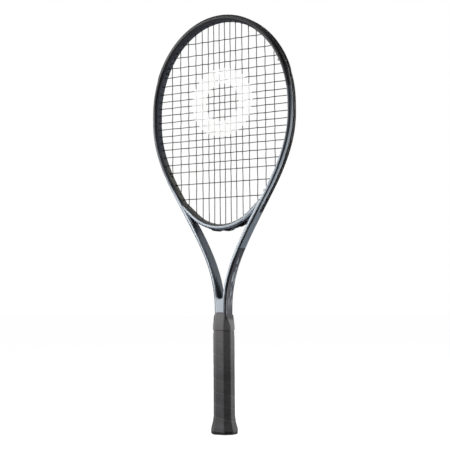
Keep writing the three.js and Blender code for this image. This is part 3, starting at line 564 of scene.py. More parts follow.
def frame_paint(name, bridge, matt):
    """Satin silver on the front and back flats, slate on the sides, black over the head."""
    if matt:
        m = Shader(name, Specular_IOR_Level=0.06)
    else:
        m = Shader(name, Metallic=0.12, Coat_Weight=0.15, Coat_Roughness=0.2,
                   Specular_IOR_Level=0.25)
    band = m.attribute("band")
    # what is on the left in front is on the right behind
    left = m.step(m.math("SIGN", m.y) * m.math("SIGN", m.x), -0.5, 0.5)
    top = m.step(m.z + m.y * 0.25, *HEAD_Z)
    # front flat, right limb: silver draws in to the inner edge going up. Where it ends, and the
    # dark beside it, is partly the paint's edge and partly painted shade of a rounded front lit
    # from the left.
    reach = 2.58 + m.step(m.z, 268, 300) * 0.46
    reach = reach - m.step(m.z, 385, 485) * 0.9
    silver = m.step(reach - band, -0.05, 0.05)
    pale = m.rising(360, 430, SILVER, STRIPE_LOW)
    right_flat = m.mix(silver, m.rising(330, 400, INK, GRAPHITE), pale)
    right_flat = m.mix(top, right_flat, BLACK)
    # front flat, left limb: silver draws out to the outer edge and turns grey. This edge and the
    # grey are partly paint and partly painted light and shade of a rounded front lit from the left.
    start = 2.45 - m.step(m.z, 300, 365) * 0.49
    start = start + m.step(m.z, 380, 420) * 0.45
    start = start + m.step(m.z, 430, 490) * 0.5
    start = start + m.inside(m.z, 214, 234, 4) * m.step(abs(m.x), 6.4, 7) * 0.3
    silver = m.step(band - start, -0.05, 0.05)
    left_flat = m.mix(silver, m.rising(360, 470, ARM_BEVEL, GRAPHITE), SILVER)
    left_flat = m.rising(366, 440, left_flat, GREY)
    left_flat = m.rising(500, 560, left_flat, BLACK)
    flat = m.mix(left, right_flat, left_flat)
    pinstripe = m.inside(band, 2.8, 2.88, 0.02) * m.inside(m.z, 225, 420, 8)
    flat = m.mix(pinstripe * 0.5, flat, SLATE)
    # outer bevel and outer flat
    outside = m.rising(298.6, 299.4, CHARCOAL, SLATE)
    outside = m.mix(m.step(m.z, 345, 380) * 0.9, outside, STRIPE)
    outside = m.rising(478, 540, outside, STRIPE_HIGH)
    along = m.combine(m.y * 0.34, m.z * 0.062 + m.y * -0.17, 0)
    strokes = m.step(m.noise(1, 2, vector=along, distortion=0.6), 0.53, 0.58)
    across = m.y * m.math("SIGN", m.x)
    field = m.inside(m.z, 208, 285, 12) * m.inside(across, -3, 8, 1.5)
    outside = m.mix(strokes * field * 0.85, outside, STREAK)
    dark_side = m.step(band, 3.94, 4.06) * wedge(m)
    outside = m.mix(dark_side, outside, DARK_SIDE)
    outside = m.mix(top, outside, BLACK)
    # a dark line along the outer bevel's front edge: partly a painted line, partly painted shade of
    # a bevel turned away from the lights
    line_end = m.blend(m.step(m.z, 335, 380), 4.02, 3.45)
    line_end = line_end - m.step(m.z, 400, 440) * 0.15
    outside = m.mix(m.step(line_end - band, -0.04, 0.04), outside, INK)
    plaque = (1.0 - m.step(m.z, 205, 246)) * 0.2
    outside = m.mix(m.step(plaque + 3.0 - band, -0.03, 0.03), outside, SILVER)
    # inner bevel and inner flat
    inside = m.rising(420, 480, OLIVE, NAVY)
    # painted shade: the inner flat darkens to navy in the corner where the arms meet the bridge
    shade = m.inside(m.z, 326, 350, 9)
    inside = m.rising(335, 352, m.mix(shade * 0.8, INNER_ARM, NAVY), inside)
    inner_bevel = m.rising(470, 520, GRAPHITE, INK)
    # painted light: the arms' inner bevel is paler below the bridge, standing in for light the
    # lamps do not give it
    inner_bevel = m.rising(320, 345, ARM_BEVEL, inner_bevel)
    inside = m.mix(m.step(band, 1.30, 1.45), inside, inner_bevel)
    lip = m.inside(band, 1.05, 1.75, 0.05) * m.inside(m.z, 341, 364, 2)
    inside = m.mix(lip * 0.85, inside, SILVER)
    base = m.mix(m.step(band, 1.97, 2.03), inside, flat)
    base = m.mix(m.step(band, 2.97, 3.03), base, outside)
    if bridge:
        under = m.mix(m.inside(abs(m.x), 41, 62, 1.5), UNDERSIDE, SILVER)
        under = m.mix(m.step(band, 3.5, 3.6), under, UNDERSIDE)
        face = m.mix(m.step(band, 2.16, 2.36), OLIVE, SILVER)
        base = m.mix(m.step(band, 3.02, 3.12), face, under)
        base = m.mix(m.inside(band, 1.7, 2.14, 0.03), base, GRAPHITE)
    flake = m.noise(3.2, 2)
    base = m.mix(m.step(flake, 0.45, 0.75) * 0.05, base, colour(232, 236, 240))
    broad = m.noise(0.02, 2)
    rough = broad * 0.12 + flake * 0.05
    rough = rough + (0.55 if matt else 0.27)
    peel = m.bump(m.noise(0.45, 2), 0.10, 0.05)
    return m.set(Base_Color=base, Roughness=rough, Normal=peel)


def moulded(name, tone, rough=0.5, strength=0.25):
    """Moulded nylon or rubber with a fine eroded grain and slightly paler worn patches."""
    m = Shader(name, Specular_IOR_Level=0.42)
    mottle = m.noise(0.06)
    fine = m.noise(1.6)
    paler = tuple(min(1.0, c * 1.9 + 0.006) for c in tone[:3]) + (1.0,)
    base = m.mix(m.step(mottle, 0.35, 0.8) * 0.45, tone, paler)
    base = m.mix(m.step(fine, 0.55, 0.75) * 0.25, base, paler)
    roughness = fine * 0.18 + (rough - 0.09)
    return m.set(Base_Color=base, Roughness=roughness, Normal=m.bump(fine, strength, 0.08))


def strip_material():
    """Black nylon, painted over with the frame where its band runs out to a tip."""
    m = Shader("strip_nylon", Specular_IOR_Level=0.35)
    fine = m.noise(1.6)
    base = m.mix(fine, colour(22, 22, 24), colour(34, 34, 37))
    lands = m.math("MAXIMUM", m.step(abs(m.y), 2, 2.2), 1.0 - m.step(m.z, 355.5, 356.5))
    over = (1.0 - wedge(m)) * lands
    base = m.mix(over, base, SLATE)
    rough = 0.42 + fine * 0.16
    return m.set(Base_Color=base, Roughness=rough, Normal=m.bump(fine, 0.2, 0.08))


RING_Z, RING_RADII = 541.0, (31.0, 57.0)


def string_material():
    """Dark monofilament with a plain ring stencilled in white ink."""
    m = Shader("string_monofilament", Specular_IOR_Level=0.5, Coat_Weight=0.2, Coat_Roughness=0.2)
    from_centre = m.math("SQRT", m.math("POWER", m.x, 2) + m.math("POWER", m.z - RING_Z, 2))
    edge = (m.noise(0.35, 2) - 0.5) * 3.0
    ring = m.inside(from_centre + edge, *RING_RADII, 0.6)
    worn = m.step(m.noise(0.9, 4), 0.30, 0.42)
    fibre = m.noise(0.8)
    dark = m.mix(fibre, colour(26, 26, 22), colour(44, 44, 39))
    base = m.mix(ring * m.blend(worn, 0.93, 1), dark, colour(250, 250, 248))
    rough = m.blend(ring, 0.34, 0.62)
    return m.set(Base_Color=base, Roughness=rough, Normal=m.bump(fibre, 0.08, 0.05))


def grip_material():
    """Synthetic leather: fine pebbled grain, dark seams, and a painted highlight in a paler band
    along each turn just below the seam.
    """
    m = Shader("grip_synthetic_leather", Specular_IOR_Level=0.3, Sheen_Weight=0.03,
               Sheen_Roughness=0.5)
    turn = m.attribute("turn")        # 0 just above a seam, 1 just below the next one
    face = m.attribute("edge")        # 1 on the octagon's edges
    grain = m.voronoi(1.15, "DISTANCE_TO_EDGE")
    fine = m.noise(2.4)
    mottle = m.noise(0.045)
    base = m.mix(m.step(mottle, 0.3, 0.75), colour(66, 66, 68), colour(84, 84, 86))
    # painted highlight: a paler band on each turn just below the next seam
    base = m.mix(m.step(turn, 0.9, 0.985) * 0.45, base, colour(120, 118, 120))
    base = m.mix((1.0 - m.step(turn, 0.004, 0.028)) * 0.75, base, colour(28, 27, 29))
    base = m.mix(face * 0.12, base, colour(112, 110, 112))
    base = m.mix((1.0 - m.step(grain, 0.02, 0.12)) * 0.35, base, colour(44, 43, 45))
    base = m.mix(m.step(m.z, 90, 168) * 0.5, base, colour(118, 115, 116))
    rough = 0.52 + fine * 0.22
    normal = m.bump(m.step(grain, 0, 0.16), 0.22, 0.10)
    normal = m.bump(fine, 0.16, 0.06, normal)
    return m.set(Base_Color=base, Roughness=rough, Normal=normal)


def collar_material():
    m = Shader("collar_rubber", Specular_IOR_Level=0.25, Sheen_Weight=0.03)
    mottle = m.noise(0.05)
    fine = m.noise(1.8)
    base = m.mix(m.step(mottle, 0.3, 0.75), colour(112, 111, 112), colour(127, 126, 127))
    lower = 1.0 - m.step(m.z, 181, 186)
    base = m.mix(lower * 0.22, base, colour(92, 88, 88))
    flank = m.step(abs(m.x), 8.5, 10.8) * m.step(m.z, 181, 187)
    base = m.mix(flank * 0.9, base, colour(58, 57, 58))
    rim = m.step(m.z, 194.6, 195.4)
    base = m.mix(rim * 0.45, base, colour(60, 59, 60))
    rough = 0.56 + fine * 0.16
    return m.set(Base_Color=base, Roughness=rough, Normal=m.bump(fine, 0.2, 0.06))


def foam_material():
    m = Shader("pallet_foam", Specular_IOR_Level=0.25)
    cells = m.voronoi(0.9)
    base = m.mix(m.step(cells, 0.2, 0.8), colour(176, 156, 110), colour(150, 130, 88))
    return m.set(Base_Color=base, Roughness=0.8 + cells * 0.1, Normal=m.bump(cells, 0.4, 0.2))


def steel_material():
    m = Shader("staple_wire", Metallic=1.0)
    brush = m.noise(1.5, 4.0)
    base = m.mix(brush, colour(176, 178, 182), colour(208, 210, 213))
    return m.set(Base_Color=base, Roughness=0.25 + brush * 0.25, Normal=m.bump(brush, 0.1, 0.02))


# ---------------- frame

PAINT = frame_paint("frame_paint", False, False)
MATT_PAINT = frame_paint("frame_paint_matt", False, True)
BRIDGE_PAINT = frame_paint("bridge_paint", True, False)
MATT_BRIDGE_PAINT = frame_paint("bridge_paint_matt", True, True)
NYLON = moulded("guard_nylon", colour(22, 22, 24), rough=0.5)
STRIP_NYLON = strip_material()
BRIDGE_NYLON = moulded("bridge_nylon", colour(82, 84, 90), rough=0.5)
CAP_PLASTIC = moulded("cap_plastic", colour(30, 29, 31), rough=0.42)
LID_PLASTIC = moulded("lid_plastic", colour(38, 38, 41), rough=0.3, strength=0.12)


def build_frame():
    legs, fine_step, run_in = 178, 2.4, 4
    half = np.unique(np.concatenate([
        np.linspace(0, legs, 12), np.arange(legs, HALF, fine_step), [HALF]]))
    stations = np.concatenate([half, (TOTAL - half)[-2::-1]])

    def outline_of(s, at):
        groove = smoothstep(min(s, TOTAL - s), GROOVE_START, GROOVE_START + run_in)
        return wall_outline(section(at[1]), float(groove))

    rings, band = swept(stations, place(stations), outline_of)
    make("frame_shell", *skin(rings), PAINT, "frame_paint", ["frame_hairpin"], {"band": band},
         matt=MATT_PAINT)


def build_web():
    """The web at the foot of the throat, level with the arms' flats, with a round notch on top."""
    half, foot, columns, rows, proud = 6.5, 186.0, 44, 20, 0.03
    edge_band, flat_band = 1.2, 2.51
    xs = half * np.sin(np.linspace(-np.pi / 2, np.pi / 2, columns + 1))
    arch = np.sqrt(np.clip(1 - (xs / (half + 0.01)) ** 2, 0, None))
    rise = np.arange(rows + 1) / rows
    z = foot + np.outer(WEB_NOTCH_Z - WEB_NOTCH_DEEP * arch - foot, rise)
    x = np.repeat(xs[:, None], rows + 1, 1)
    y = np.interp(z, SECTIONS[:, 0], SECTIONS[:, 2]) + proud
    verts = np.concatenate([np.stack([x, side * y, z], -1).reshape(-1, 3) for side in (-1, 1)])
    index = np.arange(x.size).reshape(x.shape)
    low, high = index[:-1, :-1], index[1:, :-1]
    front = np.stack([low, high, high + 1, low + 1], -1).reshape(-1, 4)
    both = np.stack([front, x.size + front[:, [0, 3, 2, 1]]], 1).reshape(-1, 4)
    edge = np.concatenate([index[:, 0], index[-1, 1:], index[-2::-1, -1], index[0, -2:0:-1]])
    following = np.roll(edge, -1)
    rim = np.stack([following, edge, x.size + edge, x.size + following], 1)
    faces = [tuple(face) for face in np.concatenate([both, rim]).tolist()]
    on_arch = np.tile(np.arange(x.size) % (rows + 1) == rows, 2)
    make("shaft_web", verts, faces, PAINT, "frame_paint",
         attributes={"band": np.where(on_arch, edge_band, flat_band)}, sharp=30, matt=MATT_PAINT)


def build_bridge():
    d = np.linspace(BRIDGE_HALF, -BRIDGE_HALF, 111)
    sec = (BRIDGE_A, BRIDGE_B, *BRIDGE_BEVEL, *BRIDGE_BEVEL)

    def outline_of(distance, _):
        end = smoothstep(abs(distance), BRIDGE_GROOVE_HALF - 2, BRIDGE_GROOVE_HALF)
        return wall_outline(sec, 1 - float(end))

    rings, band = swept(d, bridge_place(d), outline_of)
    make("bridge_shell", *skin(rings), BRIDGE_PAINT, "frame_paint", ["throat_bridge"],
         {"band": band}, matt=MATT_BRIDGE_PAINT)


# ---------------- guard and grommet strips

BARREL_SIDES = 14
# (radius, depth): the string's hole, the rolled lip, the taper, the wall and the hole again
BARREL = [(0.78, 1.6), (0.80, 0.25), (0.95, 0.0), (1.25, 0.02), (1.42, 0.3), (1.5, 1.1),
          (1.75, 1.25), (1.85, 1.6), (1.85, 3.2), (0.78, 3.2)]


def barrel(port):
    """A grommet barrel's visible tip."""
    return skin(lathe(BARREL, BARREL_SIDES, port["inner"], axis_of(port)), looped=True)


def hoop_ports(low, high):
    return [port for port in HOOP_PORTS if low < port["s"] < high]


def strip_outline(a, corners, floor, steps=4):
    """A strip's outline: its base, the corners given, and the string's channel, mirrored."""
    bottom = a - GROOVE_DEPTH + GAP
    return mirrored(rounded([
        (bottom, 0, 0, 0), (bottom, STRIP_HALF, 0, 0.3), *corners,
        (floor, STRIP_CHANNEL, 0, 0.2), (floor, 0, 0, 0)], steps))


def make_strip(name, node, material, distances, placed, outline_of, ports):
    """A strip swept along a line, with a barrel at each port."""
    rings, _ = swept(distances, placed, outline_of)
    parts = [skin(rings)] + [barrel(port) for port in ports]
    make(name, *merged(parts), material, "guard_plastic", [node])


CLOSED_Z = (358, 355)             # going down, the channel closes over these heights
RIPPLE_Z, RIPPLE_PITCH, RIPPLE_DEEP, RIPPLE_SLANT, RIPPLE_EDGE = 359, 3.4, 0.75, 1.1, (0.42, 0.30)
# how far the strip's top is below the frame's, and how deep its lands count as rippled
STRIP_SUNK, STRIP_LAND = 0.1, 0.6
STRIP_STEP = 0.45


def build_side_strip(side, word):
    stations = np.arange(GROOVE_START + 1, BUMPER_START - 0.6, STRIP_STEP)
    if side > 0:
        stations = TOTAL - stations[::-1]

    def outline_of(s, at):
        a = half_width(at)
        top, floor = a - STRIP_SUNK, channel_floor(a)
        floor += (top - CLOSED_STEP - floor) * float(smoothstep(at[1], *CLOSED_Z))
        corners = [(top, STRIP_HALF, 0, 0.25), (top, STRIP_CHANNEL, 0, 0.25)]
        outline = strip_outline(a, corners, floor, 3)
        if at[1] > RIPPLE_Z:
            land = outline[:, 0] > a - STRIP_LAND
            share = (s - RIPPLE_SLANT * np.abs(outline[land, 1])) % RIPPLE_PITCH / RIPPLE_PITCH
            outline[land, 0] -= RIPPLE_DEEP * smoothstep(np.abs(share - 0.5), *RIPPLE_EDGE)
        return outline

    make_strip("side_strip_" + word, "side_grommet_strip_" + word, STRIP_NYLON, stations,
               place(stations), outline_of, hoop_ports(stations[0], stations[-1]))


# share of the guard's width and height left at its very ends, and the length they grow over
BUMPER_FOLD, BUMPER_RISE = (0.12, 22), (0.15, 9)
BUMPER_Y = (6.1, 8.1, 8.5, 6.5)   # half widths of its skirt, hem, shoulder and crest


def build_bumper():
    low, high = BUMPER_START, TOTAL - BUMPER_START
    stations = np.linspace(low, high, 260)
    a = HOOP_A

    def outline_of(s, _):
        def grown(least, length):
            return least + (1 - least) * float(smoothstep(min(s - low, high - s), 0, length))

        fold = grown(*BUMPER_FOLD)
        top = a + (BUMPER_PROUD - 0.05) * grown(*BUMPER_RISE)
        skirt, hem, shoulder, crest = (STRIP_HALF + (y - STRIP_HALF) * fold for y in BUMPER_Y)
        corners = [(a + 0.06, STRIP_HALF, 0, 0.1), (a + 0.04, skirt, 0, 0.2),
                   (a - 0.95 * fold, hem, 0, 0.2), (a - 0.15, shoulder, 0, 0.35),
                   (top, crest, 0, 1.2), (top, STRIP_CHANNEL + 0.9, 0, 0.5),
                   (top - 0.35, STRIP_CHANNEL, 0, 0.3)]
        return strip_outline(a, corners, channel_floor(a))

    make_strip("bumper", "bumper_guard", NYLON, stations, place(stations), outline_of,
               hoop_ports(low, high))


LOOP_MIDDLES = [-32.0, -10.35, 10.35, 32.0]        # x of the strings' loops under the bridge


HUMP, HUMP_REACH, BRIDGE_STRIP_END = 1.7, (8.4, 4.0), 5


def build_bridge_strip():
    """The strip stands up in a hump over each of the strings' loops."""
    half_length = BRIDGE_GROOVE_HALF - GAP
    d = np.linspace(half_length, -half_length, 240)
    middles = [bridge_distance(x) for x in LOOP_MIDDLES]
    a, shoulder = BRIDGE_A, BRIDGE_A + 0.06

    def outline_of(distance, _):
        hump = max(float(smoothstep(abs(distance - m), *HUMP_REACH)) for m in middles)
        end = float(smoothstep(half_length - abs(distance), 0, BRIDGE_STRIP_END))
        top = a + 0.25 + 0.55 * end + HUMP * hump * end
        wide = STRIP_HALF + 1.6 * end
        corners = [(shoulder, STRIP_HALF, 0, 0.1), (shoulder, wide, 0, 0.15),
                   (top, wide - 0.9, 0, 0.8), (top, STRIP_CHANNEL + 0.2, 0, 0.4)]
        return strip_outline(a, corners, channel_floor(a))

    make_strip("bridge_strip", "bridge_grommet_strip", BRIDGE_NYLON, d, bridge_place(d),
               outline_of, BRIDGE_PORTS)


# ---------------- strings

MAIN_SWING, CROSS_SWING = 0.44, 1.06


def eased(knots, values, at):
    """Values eased between knots, level at each knot."""
    k = np.clip(np.searchsorted(knots, at) - 1, 0, len(knots) - 2)
    return values[k] + (values[k + 1] - values[k]) * smoothstep(at, knots[k], knots[k + 1])


def crossing(column, row):
    """-1 where the cross string passes in front of the main."""
    return -1 if (column + row) % 2 == 0 else 1


def met(main, cross):
    """Whether a main and a cross string meet, away from their ends."""
    x, top, bottom = main
    z, left, _ = cross
    return (bottom["inner"][2] + 4 < z < top["inner"][2] - 4) and abs(x) < abs(left["inner"][0]) - 2


def span(start, end, knots, values, axis, spacing=1.6):
    """The woven stretch between two barrel tips, with y eased through the crossings."""
    p, q = start["inner"], end["inner"]
    order = np.argsort(knots)
    ends = sorted([p[axis], q[axis]])
    ks = np.concatenate([[ends[0]], np.array(knots)[order], [ends[1]]])
    vs = np.concatenate([[0.0], np.array(values, float)[order], [0.0]])
    count = max(8, int(abs(q[axis] - p[axis]) / spacing))
    t = np.linspace(0, 1, count)[:, None]
    line = p + (q - p) * t
    line[:, 1] = eased(ks, vs, line[:, axis])
    return line[1:-1]


def channel_path(first, second):
    """Along the strip's channel from one port's outer point to the next."""
    if first["bridge"] is not None:
        d = np.linspace(first["bridge"], second["bridge"], 9)
        at, out = bridge_place(d)
        rise = 1.1 * np.sin(np.linspace(0, np.pi, 9))
        return np.array([spot(p, o, string_height(BRIDGE_A) + r, first["lane"])
                         for p, o, r in zip(at, out, rise)])[1:-1]
    s = np.linspace(first["s"], second["s"], max(4, int(abs(first["s"] - second["s"]) / 2.5)))
    at, out = place(s)
    points = [spot(p, o, string_height(half_width(p)), first["lane"]) for p, o in zip(at, out)]
    return np.array(points)[1:-1]


def corner(before, at, after, radius=0.9, steps=5):
    return bend(at + unit(before - at) * radius, at, at + unit(after - at) * radius, steps)


def link(first, second):
    """Out through one port, along the channel and in through the next."""
    middle = channel_path(first, second)
    return np.concatenate([
        [first["inner"]], corner(first["inner"], first["outer"], middle[0]), middle,
        corner(middle[-1], second["outer"], second["inner"]), [second["inner"]]])


def knot_turns(port):
    """The tied end: the string comes back inside the hoop and is wound round itself."""
    axis = axis_of(port)
    side = np.cross(axis, (0, 1, 0))
    t = np.linspace(0, 1, 40)
    angle = t * 2.4 * 2 * np.pi
    radius = 0.25 + 0.75 * np.sin(np.pi * np.clip(t * 1.15, 0, 1)) ** 0.5
    turns = (np.outer(radius * np.cos(angle), side) + np.outer(radius * np.sin(angle), (0, 1, 0)))
    return port["inner"] - np.outer(0.5 + 1.9 * t, axis) + turns


def thin_out(path, least=0.22):
    kept = [path[0]]
    for point in path[1:]:
        if np.linalg.norm(point - kept[-1]) > least:
            kept.append(point)
    return np.array(kept)


def build_string(name, node, spans, ties, material):
    """Spans are (from port, to port, woven points); the ties are the string's two ends."""
    path = [knot_turns(ties[0])[::-1], link(ties[0], spans[0][0])]
    for k, (_, to, points) in enumerate(spans):
        path.append(points)
        if k + 1 < len(spans):
            path.append(link(to, spans[k + 1][0]))
    path += [link(spans[-1][1], ties[1]), knot_turns(ties[1])]
    verts, faces = tube(thin_out(np.concatenate(path)), STRING_R, 10)
    make(name, verts, faces, material, "string", [node], sharp=60)


def build_strings():
    """Each string runs to and fro, and passes in front of and behind the others in turn."""
    material = string_material()
    for name, node, lines, others, swing, axis, ties in (
            ("string_mains", "main_string", MAINS, CROSSES, -MAIN_SWING, 2, TIES[:2]),
            ("string_crosses", "cross_string", CROSSES, MAINS, CROSS_SWING, 0, TIES[2:])):
        spans = []
        for i, line in enumerate(lines):
            pairs = [(line, other) if axis == 2 else (other, line) for other in others]
            meets = [(other[0], crossing(i, k) * swing)
                     for k, (other, pair) in enumerate(zip(others, pairs)) if met(*pair)]
            ports = line[1:] if i % 2 == 0 else line[:0:-1]
            spans.append((*ports, span(*ports, *zip(*meets), axis)))
        build_string(name, node, spans, ties, material)


# ---------------- handle

def flare(z):
    return np.interp(z, FLARE[:, 0], FLARE[:, 1])


def smooth_flare(z):
    """The flare without its corners: the average over a few millimetres."""
    return np.mean(flare(z + np.linspace(-2.5, 2.5, 7)))


def octagon(z, depth, scale):
    """Corners of the handle's octagon, in order round the handle."""
    narrow = float(TAPER_SHRINK * smoothstep(z, TAPER_FROM, GRIP_TOP)
                   - PADDING * smoothstep(z, *PADDING_Z))
    x = GRIP_X * scale - narrow - depth
    y = GRIP_Y * scale - narrow - depth
    bevel = GRIP_BEVEL * scale - (narrow + depth) * (2 - math.sqrt(2))
    return np.array([[x, y - bevel], [x - bevel, y], [-x + bevel, y], [-x, y - bevel],
                     [-x, -y + bevel], [-x + bevel, -y], [x - bevel, -y], [x, -y + bevel]])


def octagon_ring(corners, radius, per_side=7, per_corner=5):
    """Rounded octagon: its points, how near each is to a corner, and the outward vectors."""
    points, edge = [], []
    round_corner = 1 - np.abs(2 * np.linspace(0, 1, per_corner) - 1)
    for before, here, after in zip(np.roll(corners, 1, 0), corners, np.roll(corners, -1, 0)):
        q = here + unit(after - here) * radius
        side_end = after + unit(here - after) * radius
        t = np.linspace(0, 1, per_side + 2)[1:-1, None]
        points += [bend(here + unit(before - here) * radius, here, q, per_corner),
                   q + (side_end - q) * t]
        edge += [round_corner, np.zeros(per_side)]
    points = np.concatenate(points)
    along = np.roll(points, -1, 0) - np.roll(points, 1, 0)
    return points, np.concatenate(edge), unit(np.stack([along[:, 1], -along[:, 0]], 1))


def at_height(points, z):
    return np.column_stack([points, np.broadcast_to(z, len(points))])


def turn_of(points, z):
    """Share of a turn of the wound strip above the seam below: it drops to the right in front."""
    angle = np.arctan2(points[:, 1], points[:, 0])
    share = (-(angle + math.pi / 2) / (2 * math.pi)) % 1.0
    return ((z - SEAM_PHASE) / GRIP_PITCH - share) % 1.0


def build_grip():
    levels = np.concatenate([
        np.linspace(GRIP_BOTTOM, 40, 76), np.arange(40.5, GRIP_TOP, 0.5), [GRIP_TOP]])
    rng = np.random.default_rng(7)
    waves = [(rng.uniform(0.02, 0.06), rng.uniform(0, 6.28), rng.integers(1, 4))
             for _ in range(6)]
    outer, inner, turns, edges = [], [], [], []
    for z in levels:
        ring, edge, normal = octagon_ring(octagon(z, 0.0, smooth_flare(z)), GRIP_CORNER)
        turn = turn_of(ring, z)
        # each turn laps the one below: highest just above its own lower edge, with a groove at it
        lap = 0.14 * (1 - turn) - 0.12
        groove = -0.42 * (1 - smoothstep(np.minimum(turn, 1 - turn), 0.0, 0.030))
        angle = np.arctan2(ring[:, 1], ring[:, 0])
        uneven = sum(0.03 * np.sin(z * f + phase + n * angle) for f, phase, n in waves) / 2
        outer.append(at_height(ring + normal * (lap + groove + uneven)[:, None], z))
        wall = octagon_ring(octagon(z, GRIP_WALL, smooth_flare(z)), GRIP_CORNER)[0]
        inner.append(at_height(wall, z))
        turns.append(turn)
        edges.append(edge)
    unseen = np.zeros(len(inner) * len(inner[0]))
    make("grip", *skin(outer + inner[::-1], looped=True), grip_material(), "grip", ["grip_wrap"],
         {"turn": np.concatenate(turns + [unseen + 0.5]), "edge": np.concatenate(edges + [unseen])},
         sharp=50)


# (height, how far it stands out): the rolled foot, the raised upper part, its groove and its edge
COLLAR_PROFILE = [
    (167.0, -0.30), (167.3, -0.16), (168.2, -0.04), (170, 0.0), (173, 0.0), (176, 0.0),
    (180, 0.0), (183.6, 0.0), (184.5, 0.0), (185.0, 0.10), (185.6, 0.16), (188, 0.16),
    (190, 0.16), (191.6, 0.16), (192.6, 0.16), (193.2, 0.02), (193.8, 0.16), (195.0, 0.14),
    (195.6, 0.0), (195.8, -0.35)]
COLLAR_INSIDE_Z = (COLLAR_TOP_VISIBLE, 188.0, 180.0, 174.0, 167.0)


def build_collar():
    """A sleeve over the end of the grip that passes into the shaft's outline going up."""
    skin_out = 2 * TAPE_GAP + TAPE_THICK + COLLAR_WALL
    grow = GAP + COLLAR_WALL
    x, y = LEG_X + SHAFT_A + grow, SHAFT_B + grow
    shaft = np.array([[x, y - SHAFT_BEVEL[1]], [x - SHAFT_BEVEL[0], y]])
    quarter = np.concatenate([shaft, (shaft * (-1, 1))[::-1]])
    shaft_ring = np.concatenate([quarter, -quarter])
    cone_from = COLLAR_CONE[0, 0]

    def ring_at(z, offset):
        low = octagon(min(z, cone_from), -skin_out, 1.0)
        k = float(np.interp(z, COLLAR_CONE[:, 0], COLLAR_CONE[:, 1]))
        ring, _, normal = octagon_ring(low + (shaft_ring - low) * k, 1.3 * (1 - k) + 0.7 * k, 4)
        # the top edge dips at the two sides
        side = smoothstep(np.abs(ring[:, 0]) - 0.45 * np.abs(ring[:, 1]), 0.0, 5.0)
        height = z - COLLAR_DIP * side * smoothstep(z, 176, COLLAR_TOP_VISIBLE)
        return at_height(ring + normal * offset, height)

    rings = [ring_at(z, puff - 0.05) for z, puff in COLLAR_PROFILE]
    rings += [ring_at(z, -COLLAR_WALL) for z in COLLAR_INSIDE_Z]
    make("collar", *skin(rings, looped=True), collar_material(), "collar_rubber", ["grip_collar"])


# (height, depth below the flare) round the butt's lower edge
RIM = [(4.7, 0.1), (4.0, 0.12), (3.2, 0.15), (2.4, 0.22), (1.7, 0.4), (1.1, 0.7), (0.6, 1.1),
       (0.25, 1.6), (0.06, 2.1), (0.0, 2.7)]
# (radius, height) of the round lid, which has two steps in its face
LID = [(0.01, 0.75), (2.6, 0.75), (2.9, 0.6), (7.6, 0.6), (7.9, 0.42), (10.2, 0.42),
       (10.6, 0.6), (10.7, 1.5), (0.01, 1.5)]


def build_butt():
    """The moulded cap: the neck inside the grip, a rolled rim under it, and the lid's seat."""
    neck = [(30.0, 3.0, 1.0), (30.0, 2.0, 1.0), (12.0, 2.0, 1.0), (4.75, 2.2, flare(4.75))]
    rings = [at_height(octagon_ring(octagon(z, depth, scale), GRIP_CORNER)[0], z)
             for z, depth, scale in neck + [(z, depth, flare(4.7)) for z, depth in RIM]]
    angle = np.arctan2(rings[-1][:, 1], rings[-1][:, 0])
    for radius, z in [(LID_R + 0.25, 0.0), (LID_R, 0.12), (LID_R, LID_DEPTH)]:
        rings.append(at_height(radius * np.column_stack([np.cos(angle), np.sin(angle)]), z))
    verts, faces = skin(rings)
    make("butt", verts, [face[::-1] for face in faces], CAP_PLASTIC, "cap_plastic", ["butt_cap"],
         sharp=42)
    make("butt_plate", *skin(lathe(LID, 64, (0, 0, 0), (0, 0, 1))), LID_PLASTIC, "lid_plastic",
         ["butt_cap_lid"], sharp=30)


build_frame()
build_web()
build_bridge()
build_side_strip(-1, "left")
build_side_strip(1, "right")
build_bumper()
build_bridge_strip()
build_strings()
build_grip()
build_collar()
build_butt()

foam, steel = foam_material(), steel_material()
tape = moulded("finishing_tape_vinyl", colour(30, 30, 32), rough=0.45)
for node, material in {"handle_pallet_front": foam, "handle_pallet_back": foam,
                       "butt_staple_left": steel, "butt_staple_right": steel,
                       "finishing_tape": tape}.items():
    NODES[node].data.materials.clear()
    NODES[node].data.materials.append(material)


# ---------------- camera, floor and light

AZIMUTH, PITCH, ROLL = math.radians(30), math.radians(-4.29), math.radians(-0.40)
FOCAL_SHARE = 1125.7 / 450        # focal length as a share of the picture's width
SENSOR = 36.0
DISTANCE, ACROSS, UP = 1815.3, 0.8, 337.1


def toward(azimuth, elevation):
    """The direction from the racket to a camera or light."""
    level = math.cos(elevation)
    return Vector((math.sin(azimuth) * level, -math.cos(azimuth) * level, math.sin(elevation)))


def add_camera():
    right = Vector((math.cos(AZIMUTH), math.sin(AZIMUTH), 0))
    back = toward(AZIMUTH, PITCH)
    up = back.cross(right)
    across = math.cos(ROLL) * right + math.sin(ROLL) * up
    upward = -math.sin(ROLL) * right + math.cos(ROLL) * up
    data = bpy.data.cameras.new("camera")
    data.sensor_width, data.lens = SENSOR, FOCAL_SHARE * SENSOR
    data.clip_start, data.clip_end = 0.05, 100
    camera = put("camera", data)
    turn = Matrix((across, upward, back)).transposed()
    where = (across * ACROSS + upward * UP + back * DISTANCE) * MM
    camera.matrix_world = Matrix.Translation(where) @ turn.to_4x4()
    bpy.context.scene.camera = camera


